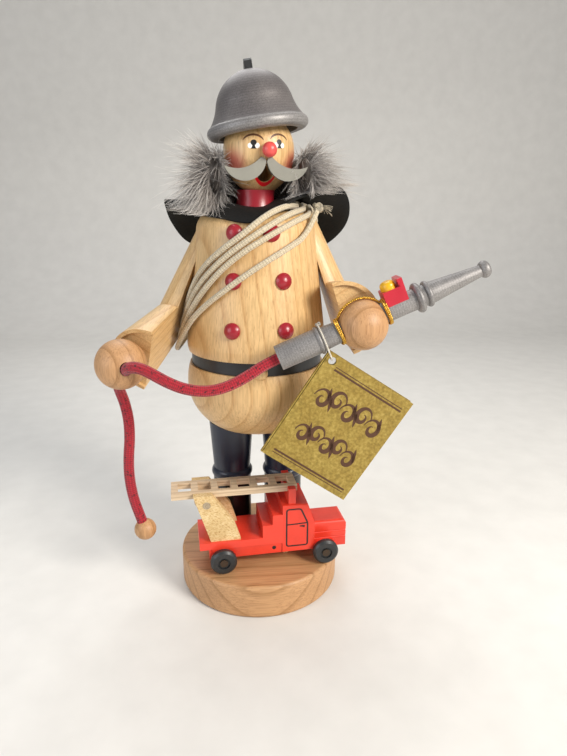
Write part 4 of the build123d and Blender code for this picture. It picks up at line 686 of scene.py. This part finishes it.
# Rope of braided cotton, with its overhand knot and frayed end at the shoulder
def makeRope():
    points = ropeRoute()
    cotton = makeBraid("cottonCord", *rope["colours"], rope["twists"], rope["strands"])
    route = [point * unit for point in reversed(points)]
    made = place(makeCurve("cottonRope", route, rope["radius"]), "cottonRope", "upper", cotton)
    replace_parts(made, "rope")
    middle = points[0] - (points[1] - points[0]).normalized() * knotLook["back"]
    loop = []
    for step in range(48):
        a = 2 * pi * step / 48
        reach = 2 + cos(3 * a)
        flat = Vector((reach * cos(2 * a), reach * sin(2 * a), sin(3 * a))) * knotLook["size"]
        flat.rotate(Vector(knotLook["axis"]).to_track_quat("Z", "Y"))
        loop.append((middle + flat) * unit)
    knot = makeCurve("ropeKnot", loop, knotLook["cord"], closed=True)
    chance = Random(3)
    for strand in range(knotLook["frays"]):
        lean = Vector((
            0.9 + chance.uniform(-0.5, 0.5), -0.5 + chance.uniform(-0.5, 0.5), chance.uniform(-0.9, 0.3)))
        begin = middle + Vector((1.6, -0.9, 0.2)) + Vector([chance.uniform(-0.5, 0.5) for _ in range(3)])
        fray = [begin * unit, (begin + lean * 1.6) * unit, (begin + lean * 3.0 + Vector((0, 0, -0.9))) * unit]
        for control in addSpline(knot, fray).points:
            control.radius = knotLook["fray"]
    knotPiece = place(knot, "ropeKnot", "upper", cotton)
    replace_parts(knotPiece, "rope_knot")
    print("rope made, control points:", len(points))


# Length of the line through a route's points
def routeLength(route):
    return sum((b - a).length for a, b in zip(route, route[1:]))


# The nozzle's start, the way it points and the way across it
def nozzleFrame():
    turn = radians(nozzle["turn"])
    return Vector(nozzle["start"]), Vector((cos(turn), 0, sin(turn))), Vector((-sin(turn), 0, cos(turn)))


band = {
    "hand": 35.0, "handCentre": (38.78, -28.45, 125.5), "hoops": (-9.76, -9.1, 9.76, 10.4), "hoop": 4.85,
    "wobble": 0.25, "overHand": 10.5, "strand": 0.3, "apart": 0.28, "pitch": 1.7,
}


# Two thin strands twisted together along a route
def addTwist(curve, route, closed=False):
    travelled = 0.0
    normal = Vector((0, 1, 0))
    strands = ([], [])
    count = len(route)
    total = routeLength(route + [route[0]] if closed else route)
    turns = max(round(total / band["pitch"]), 1)
    for index in range(count):
        after = route[(index + 1) % count] if closed else route[min(index + 1, count - 1)]
        before = route[index - 1] if closed or index else route[0]
        way = (after - before).normalized()
        normal = (normal - way * normal.dot(way)).normalized()
        other = way.cross(normal)
        angle = 2 * pi * turns * travelled / total
        for half, strand in enumerate(strands):
            turned = angle + half * pi
            off = (normal * cos(turned) + other * sin(turned)) * band["apart"]
            strand.append((route[index] + off) * unit)
        if index < count - 1:
            travelled += (route[index + 1] - route[index]).length
    for strand in strands:
        addSpline(curve, strand, closed)


# Gold elastic: hoops round the nozzle on both sides of the hand, and the strand across it
def makeBand():
    start, along, up = nozzleFrame()
    hand, deep = Vector(band["handCentre"]), Vector((0, 1, 0))
    curve = makeCurve("goldBand", [], band["strand"])
    for off in band["hoops"]:
        reach = band["hand"] + off
        middle = start + along * reach
        addTwist(curve, [
            middle + up * band["hoop"] * cos(a) + deep * band["hoop"] * sin(a)
            + along * band["wobble"] * sin(2 * a + reach)
            for a in [2 * pi * step / 96 for step in range(96)]], True)
    addTwist(curve, [
        hand + along * band["overHand"] * cos(a) + up * (band["overHand"] * sin(a)) + deep * (-0.5 * sin(a))
        for a in [radians(149.0 - 118.0 * step / 96) for step in range(97)]])
    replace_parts(place(curve, "goldBand", "upper", makeGold()), "gold_band")
    print("band made")


tagCord = {
    "reach": 18.75, "loop": 5.65, "low": (-1.4, -5.567), "small": 3.0, "radius": 0.35,
    # Thread colours: pale crests, dark painted shade in the hollows between strands, and fleck
    "knot": 0.33, "twists": 24, "colours": (0xF1ECE0, 0xB8AE98, 0xE0D8C4),
}


# Tag cord of linen thread: a loop over the nozzle and through the tag's holes, tied on top
def makeTagCord():
    start, along, up = nozzleFrame()
    middle = start + along * tagCord["reach"]
    reach, small, low = tagCord["loop"], tagCord["small"], Vector(tagCord["low"])
    bend = atan2(low.y, low.x)
    touch = acos((reach - small) / low.length)
    flat = [Vector((reach * cos(a), reach * sin(a))) for a in
            [bend - pi + (pi - touch) * i / 12 for i in range(13)]]
    flat += [low + Vector((small * cos(a), small * sin(a))) for a in
             [bend - touch + 2 * touch * i / 10 for i in range(11)]]
    flat += [Vector((reach * cos(a), reach * sin(a))) for a in
             [bend + touch + (pi - touch) * i / 12 for i in range(13)]]
    loop = [(middle + Vector((0, 1, 0)) * p.x + up * p.y) * unit for p in flat]
    loop[0] -= along * tagCord["radius"] * unit
    loop[-1] += along * tagCord["radius"] * unit
    thread = makeBraid("linenThread", *tagCord["colours"], tagCord["twists"], 2)
    cord = place(makeCurve("tagCord", loop, tagCord["radius"]), "tagCord", "tag", thread)
    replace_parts(cord, "tag_cord")
    top = loop[-1] + up * 0.3 * unit
    knot = [top + (along * 0.8 * cos(a) + up * 0.5 * sin(2 * a) + Vector((0, 1, 0)) * 0.6 * sin(a)) * unit
            for a in [2 * pi * i / 10 for i in range(10)]]
    knotCurve = makeCurve("tagKnot", knot, tagCord["knot"], closed=True)
    knotPiece = place(knotCurve, "tagKnot", "tag", thread)


guard = {
    "neck": 8.9, "rings": 12, "steps": 8, "thickness": 1.0, "edge": 0.3, "flat": (95, 85),
    # cut edge of the leather: angle from the front, reach, and height above the jacket's top
    "rim": (
        (-88, 32.2, 0.8), (-70, 28.6, -0.2), (-47, 25.0, -2.6), (-9, 26.2, -4.2), (20, 23.8, 0.4),
        (38, 22.6, 3.6), (62, 24.2, 6.8), (75, 28.6, 9.6), (84, 33.8, 10.4), (91, 38.4, 7.8), (97, 41.8, 2.8),
        (103, 43.2, -4.0), (111, 42.0, -10.6), (123, 38.8, -16.6), (140, 36.0, -20.0), (163, 33.6, -21.4),
        (187, 32.2, -22.0), (212, 34.0, -18.8),
        (234, 38.0, -14.0), (247, 39.8, -6.0), (255, 40.0, 1.0), (263, 38.2, 3.8),
    ),
}


# Outer edge of the neck guard round its seat on the jacket, smoothed through its corners
def guardEdge():
    corners = [Vector((reach * sin(radians(angle)), -reach * cos(radians(angle)), height))
               for angle, reach, height in guard["rim"]]
    edge = []
    for index, here in enumerate(corners):
        before, after = corners[index - 1], corners[(index + 1) % len(corners)]
        beyond = corners[(index + 2) % len(corners)]
        for step in range(guard["steps"]):
            t = step / guard["steps"]
            edge.append(0.5 * (
                2 * here + (after - before) * t
                + (2 * before - 5 * here + 4 * after - beyond) * t**2
                + (3 * here - before - 3 * after + beyond) * t**3))
    return edge


# Height of the guard's leather above the jacket's top, a share of the way from the neck to an edge point
def guardRise(far, share):
    level = Vector((far.x, far.y)).normalized()
    front = max(-level.y, 0) ** 2
    low = 2.3 - 1.4 * front + 2.6 * max(level.x, 0) ** 2
    power = 2.2 + 1.4 * max(level.y, 0) + 1.0 * front if far.z < low else 1.4
    ripple = 0.35 * sin(atan2(far.y, far.x) * 5) * share
    return low + (far.z - low) * share**power + ripple


# Neck guard: one piece of leather laid on the shoulders, its lobes turned up at the sides
def makeGuard(leather):
    edge, rings = guardEdge(), guard["rings"]
    count = len(edge)
    seat = Vector((0, figure["axisY"], jacket["top"]))
    points, faces = [], []
    for ring in range(rings + 1):
        share = ring / rings
        for far in edge:
            flat = Vector((far.x, far.y, 0))
            neck = flat.normalized() * guard["neck"]
            rise = Vector((0, 0, guardRise(far, share)))
            points.append((seat + neck + (flat - neck) * share + rise) * unit)
    for ring in range(rings):
        for index in range(count):
            after = (index + 1) % count
            faces.append((ring * count + index, (ring + 1) * count + index,
                          (ring + 1) * count + after, ring * count + after))
    mesh = makeMesh("neckGuardLeather", points, faces)
    made = place(mesh, "neckGuardLeather", "upper", leather)
    hide = made.modifiers.new("hideThickness", "SOLIDIFY")
    hide.thickness = guard["thickness"] * unit
    hide.offset = 0.0
    rolled = made.modifiers.new("cutEdge", "BEVEL")
    rolled.width = guard["edge"] * unit
    rolled.segments = 2
    rolled.limit_method = "ANGLE"
    rolled.angle_limit = radians(50)
    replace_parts(made, "neck_guard")


fur = {
    "hairs": 8200, "clumps": 520, "length": 17.0, "seed": 7, "skinColour": 0x6B645E,
    "reach": 19.6, "height": 180.6, "wide": 3.2, "high": 7.6, "first": 66, "span": 228, "aboveGuard": 0.7,
}


# A point on the roll of skin behind the head, by the angle round the head and the angle round the roll
def rollSpot(angle, rollAngle, wide, high):
    turn = radians(angle)
    reach = fur["reach"] + wide * cos(rollAngle)
    return Vector((
        figure["headShift"] + reach * sin(turn), figure["axisY"] - reach * cos(turn),
        fur["height"] + high * sin(rollAngle)))


# Roll of skin that carries the hair, closed and thinner at both ends
def makeFurSkin():
    points, faces, rings, sides = [], [], 40, 12
    for ring in range(rings + 1):
        angle = fur["first"] + fur["span"] * ring / rings
        close = min(1.0, 0.25 + min(ring, rings - ring) / 3)
        for side in range(sides):
            rollAngle = 2 * pi * side / sides
            points.append(rollSpot(angle, rollAngle, fur["wide"] * close, fur["high"] * close) * unit)
    for ring in range(rings):
        for side in range(sides):
            other = (side + 1) % sides
            faces.append((ring * sides + side, ring * sides + other,
                          (ring + 1) * sides + other, (ring + 1) * sides + side))
    faces += [tuple(range(sides)), tuple(reversed(range(rings * sides, (rings + 1) * sides)))]
    skin = makeMesh("furSkin", points, faces)
    place(skin, "furSkin", "upper", makePaint("furSkin", fur["skinColour"], 0.8))


# Directions of the clumps: outwards and down, swept back behind the head and forwards at the strip's ends
def furClumps(chance):
    clumps = []
    for _ in range(fur["clumps"]):
        angle = 63 + 234 * chance.random()
        rollAngle = chance.uniform(-pi, pi) if chance.random() < 0.5 else chance.uniform(-1.7, 1.0)
        turn = radians(angle)
        side = 1 if angle < 180 else -1
        out, tangent = Vector((sin(turn), -cos(turn), 0)), Vector((cos(turn), sin(turn), 0))
        inner = cos(rollAngle) < -0.1
        swirl = tangent * (chance.gauss(0, 0.3) - (0.8 if inner else 0.0) * side)
        lift = Vector((0, 0, 0.65 * sin(rollAngle) + chance.gauss(-0.3 if inner else -0.42, 0.28)))
        if not inner and sin(rollAngle) > 0.3:
            lift.z += 0.4
        swirl -= tangent * (0.6 * side * max(0.0, 1 - min(angle - 63, 297 - angle) / 16))
        way = out * (0.5 + 0.5 * cos(rollAngle)) * (0.3 if inner else 0.9) + swirl + lift
        reach = 0.5 if inner else 1.0 - 0.25 * max(sin(rollAngle), 0)
        clumps.append((angle, rollAngle, way.normalized(), reach))
    return clumps


# Fur: single hairs in clumps, laid back over the leather and kept above it
def makeFur():
    makeFurSkin()
    chance = Random(fur["seed"])
    clumps = furClumps(chance)
    edge = sorted(guardEdge(), key=lambda far: atan2(far.x, -far.y))
    bearings = [atan2(far.x, -far.y) for far in edge]

    def aboveGuard(spot):
        across, back = spot.x, spot.y - figure["axisY"]
        far = edge[bisect(bearings, atan2(across, -back)) % len(edge)]
        span = hypot(far.x, far.y) - guard["neck"]
        share = max(0.0, min(1.0, (hypot(across, back) - guard["neck"]) / span))
        lowest = jacket["top"] + guardRise(far, share) + fur["aboveGuard"]
        return Vector((spot.x, spot.y, max(spot.z, lowest)))

    points, faces, tones, segments = [], [], [], 4
    for hair in range(fur["hairs"]):
        angle, rollAngle, way, reachShare = clumps[chance.randrange(len(clumps))]
        nearAngle, nearRoll = angle + chance.gauss(0, 3.4), rollAngle + chance.gauss(0, 0.22)
        root = rollSpot(max(64, min(296, nearAngle)), nearRoll, 3.1, 7.5)
        stray = 0.45 if chance.random() < 0.12 else 0.14
        lean = (way + Vector([chance.gauss(0, stray) for _ in range(3)])).normalized()
        length = fur["length"] * reachShare * chance.uniform(0.65, 1.2)
        length *= 1 - 0.3 * max(0.0, -cos(radians(angle)))  # shorter at the back
        bend = Vector([chance.gauss(0, 0.16) for _ in range(3)]) + Vector((0, 0, -0.22))
        thick = chance.uniform(0.09, 0.15)
        bright = chance.uniform(-0.18, 0.18)
        side = lean.orthogonal().normalized()
        other = lean.cross(side)
        base = len(points)
        for step in range(segments + 1):
            share = step / segments
            spot = aboveGuard(root + (lean + bend * share) * (length * share))
            width = thick * (1 - share**2 * 0.85)
            for a in (0, 2 * pi / 3, 4 * pi / 3):
                points.append((spot + (side * cos(a) + other * sin(a)) * width) * unit)
                tones.append(max(0.0, min(1.0, share + bright)))
        for step in range(segments):
            for corner in range(3):
                a, b = base + step * 3 + corner, base + step * 3 + (corner + 1) % 3
                faces.append((a, b, b + 3, a + 3))
    mesh = makeMesh("furHair", points, faces)
    mesh.attributes.new("tone", "FLOAT", "POINT").data.foreach_set("value", tones)
    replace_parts(place(mesh, "furHair", "upper", makeFurMaterial()), "fur")
    print("fur made, hairs:", fur["hairs"])


# A flat strip of paint or print along a path drawn in two dimensions
def makeRibbon(name, path, width, toSpace, closed=False):
    count = len(path)
    points = []
    for index, (x, y) in enumerate(path):
        before = path[index - 1] if index or closed else path[0]
        after = path[(index + 1) % count] if index < count - 1 or closed else path[-1]
        run, rise = after[0] - before[0], after[1] - before[1]
        size = hypot(run, rise)
        taper = width(index / (count - 1)) if callable(width) else width
        sideX, sideY = -rise / size * taper / 2, run / size * taper / 2
        points += [toSpace(x + sideX, y + sideY), toSpace(x - sideX, y - sideY)]
    last = count if closed else count - 1
    faces = [(2 * i, 2 * i + 1, (2 * i + 3) % (2 * count), (2 * i + 2) % (2 * count)) for i in range(last)]
    return makeMesh(name, points, faces)


# A filled patch of paint inside an outline
def makePatch(name, outline, toSpace):
    count = len(outline)
    middle = (sum(p[0] for p in outline) / count, sum(p[1] for p in outline) / count)
    rings = [[(middle[0] + (x - middle[0]) * share, middle[1] + (y - middle[1]) * share) for x, y in outline]
             for share in (0.35, 0.7, 1.0)]
    points = [toSpace(*middle)] + [toSpace(*spot) for ring in rings for spot in ring]
    faces = [(0, 1 + i, 1 + (i + 1) % count) for i in range(count)]
    for ring in range(2):
        start = 1 + ring * count
        for i in range(count):
            j = (i + 1) % count
            faces.append((start + i, start + count + i, start + count + j, start + j))
    return makeMesh(name, points, faces)


# Points of an oval
def oval(x, y, wide, high, count=24):
    return [(x + wide * cos(a), y + high * sin(a)) for a in [2 * pi * i / count for i in range(count)]]


# Width of a brush stroke that swells in its middle, by the share of the way along
def swelling(most, least):
    return lambda share: most * (1 - abs(2 * share - 1) ** 4) + least


face = {
    "eyes": ((-1, -4.9, 1.0), (1, 5.7, 1.4)),  # side, place across the face, height
    "brow": (4.3, 2.7, 0.9), "lobe": (0.95, 1.0), "pupil": (1.2, 1.05),
    "lip": (0.2, -9.0, 5.3, 4.6), "foot": ((0.5, 0.3), (0.55, -0.7), (1.0, -1.6)),
}


# Painted face: brows, eyes with their white lobes, and the lower lip
def paintFace():
    black, brown = makePaint("blackPaint", 0x17120F), makePaint("brownPaint", 0x5A3A24)
    white, red = makePaint("whitePaint", 0xF2EDE2), makePaint("redPaint", 0xD8121E, 0.3)
    perDegree = figure["headRadius"] * pi / 180

    def onHead(off):
        return lambda x, y: headSpot(x / perDegree, y, off)

    pieces = []
    for side, across, rise in face["eyes"]:
        label = "Left" if side < 0 else "Right"
        wide, high, above = face["brow"]
        brow = [(across + side * 0.3 + wide * cos(a), rise + above + high * sin(a)) for a in
                [radians(166 - 152 * i / 24) for i in range(25)]]
        pieces.append((makeRibbon("brow" + label, brow, swelling(0.62, 0.14), onHead(0.05)), brown))
        for lobe in (-1, 1):
            shape = oval(across + lobe * 1.45, rise - 0.45, *face["lobe"])
            pieces.append((makePatch(f"lobe{label}{lobe + 1}", shape, onHead(0.05)), white))
        pupil = oval(across, rise + 0.7, *face["pupil"])
        pieces.append((makePatch("pupil" + label, pupil, onHead(0.09)), black))
        half = face["foot"]
        foot = [(across - half[0][0], rise + half[0][1])]
        foot += [(across + x, rise + y) for x, y in half]
        foot += [(across - x, rise + y) for x, y in reversed(half[1:])]
        pieces.append((makePatch("foot" + label, foot, onHead(0.1)), black))
    x, y, wide, high = face["lip"]
    lip = [(x + wide * cos(a), y + high * sin(a)) for a in [radians(180 + 180 * i / 28) for i in range(29)]]
    pieces.append((makeRibbon("lowerLip", lip, swelling(1.3, 0.2), onHead(0.06)), red))
    for mesh, material in pieces:
        place(mesh, mesh.name, "upper", material)


engine = {
    "start": (-16.8, -26.9, 15.4), "turn": 5.0, "cabSide": 3.95, "handleSide": 3.94, "bedSide": 4.55,
    "door": ((28.1, 8.9), (28.1, 27.0), (34.4, 27.0), (37.5, 19.9), (37.5, 8.9)), "doorRound": 1.1,
    "sill": ((28.1, 19.6), (33.0, 19.7), (37.4, 19.9)), "handle": ((33.9, 18.5), (35.0, 18.5), (36.2, 18.2)),
    "holeShade": (22.6, 8.6, 0.9, 0.9),
}


# Lines painted on the engine's near side: the door with its window and handle, and a black patch of painted
# shade where a hole shows
def paintEngine():
    black = makePaint("doorLine", 0x120E0C)
    turn = radians(engine["turn"])
    along = Vector((cos(turn), sin(turn), 0))
    across = Vector((-sin(turn), cos(turn), 0))
    start = Vector(engine["start"])

    def onSide(inset):
        return lambda u, h: (start + along * u + across * inset + Vector((0, 0, h))) * unit

    cabSide, handleSide = onSide(engine["cabSide"]), onSide(engine["handleSide"])
    outline = roundCorners(engine["door"], engine["doorRound"])
    for mesh in (
        makeRibbon("doorOutline", outline, 0.68, cabSide, True),
        makeRibbon("doorSill", engine["sill"], 0.6, cabSide),
        makeRibbon("doorHandle", engine["handle"], lambda share: 0.5 + 0.5 * share, handleSide),
        # Black oval on the bed's side: painted shade where the inside of a gap lies in shadow
        makePatch("holeShade", oval(*engine["holeShade"]), onSide(engine["bedSide"])),
    ):
        place(mesh, mesh.name, "root", black)


# A closed outline with its corners rounded
def roundCorners(corners, radius):
    outline = []
    for index, corner in enumerate(corners):
        here = Vector(corner)
        before = (Vector(corners[index - 1]) - here).normalized() * radius
        after = (Vector(corners[(index + 1) % len(corners)]) - here).normalized() * radius
        for share in (0, 0.25, 0.5, 0.75, 1):
            outline.append(tuple(here + before * (1 - share) ** 2 + after * share**2))
    return outline


tagPrint = {
    "turn": 33.0, "opened": 4.0, "hole": (26.9, -29.85, 111.88), "fold": 2.7, "face": 0.5,
    "rules": ((2.5, 32, -1.2, 0.35), (2.5, 32, -2.4, 0.8), (0.5, 34, -42.2, 0.8), (0.5, 34, -43.4, 0.35)),
    "scrolls": ((-13.5, 1.0), (-29.5, 0.9)), "marks": 5, "apart": 6.0, "middle": 17,
}


# Print on the tag's front leaf: rules and plain scrolls
def printTag():
    ink = makePaint("brownInk", 0x4A2A12, 0.6)
    turn, opened, fold = radians(tagPrint["turn"]), radians(tagPrint["opened"]), tagPrint["fold"]
    sideways = Vector((cos(turn), 0, -sin(turn)))
    upwards = Vector((sin(turn), 0, cos(turn)))
    hole = Vector(tagPrint["hole"])

    def onLeaf(x, y):
        reach = x + fold
        out = 0.25 + reach * sin(opened) + tagPrint["face"] * cos(opened)
        return (hole + sideways * (reach * cos(opened) - fold) + upwards * y + Vector((0, -out, 0))) * unit

    lines = [([(left + wide * i / 12, height) for i in range(13)], thick)
             for left, wide, height, thick in tagPrint["rules"]]
    for row, size in tagPrint["scrolls"]:
        for mark in range(tagPrint["marks"]):
            side = 1 if mark % 2 else -1
            middle = tagPrint["middle"] + (mark - (tagPrint["marks"] - 1) / 2) * tagPrint["apart"] * size
            scroll = []
            for step in range(37):
                angle = radians(90 - side * 90 + side * step * 12.5)
                reach = size * (4.6 - step * 0.1)
                scroll.append((middle + reach * 0.78 * cos(angle), row + side * 1.2 + reach * sin(angle)))
            lines.append((scroll, lambda share: 1.7 * sin(pi * (0.1 + 0.86 * share)) ** 2 + 0.2))
            spur = [(middle - side * (1.0 + i * 0.22), row - side * (4.6 - i * 0.75)) for i in range(9)]
            lines.append((spur, lambda share: 1.2 * sin(pi * share) + 0.12))
    for index, (line, width) in enumerate(lines):
        place(makeRibbon(f"print{index}", line, width, onLeaf), f"print{index}", "tag_leaf", ink)


makeCamera()
makeLights()
makeFloor()
print("camera, lights and floor made")
looks = dressNodes()
print("materials made:", len(looks))
makeHose()
makeRope()
makeBand()
makeTagCord()
makeGuard(looks["leather"])
makeFur()
paintFace()
paintEngine()
printTag()
print("paint and print made")
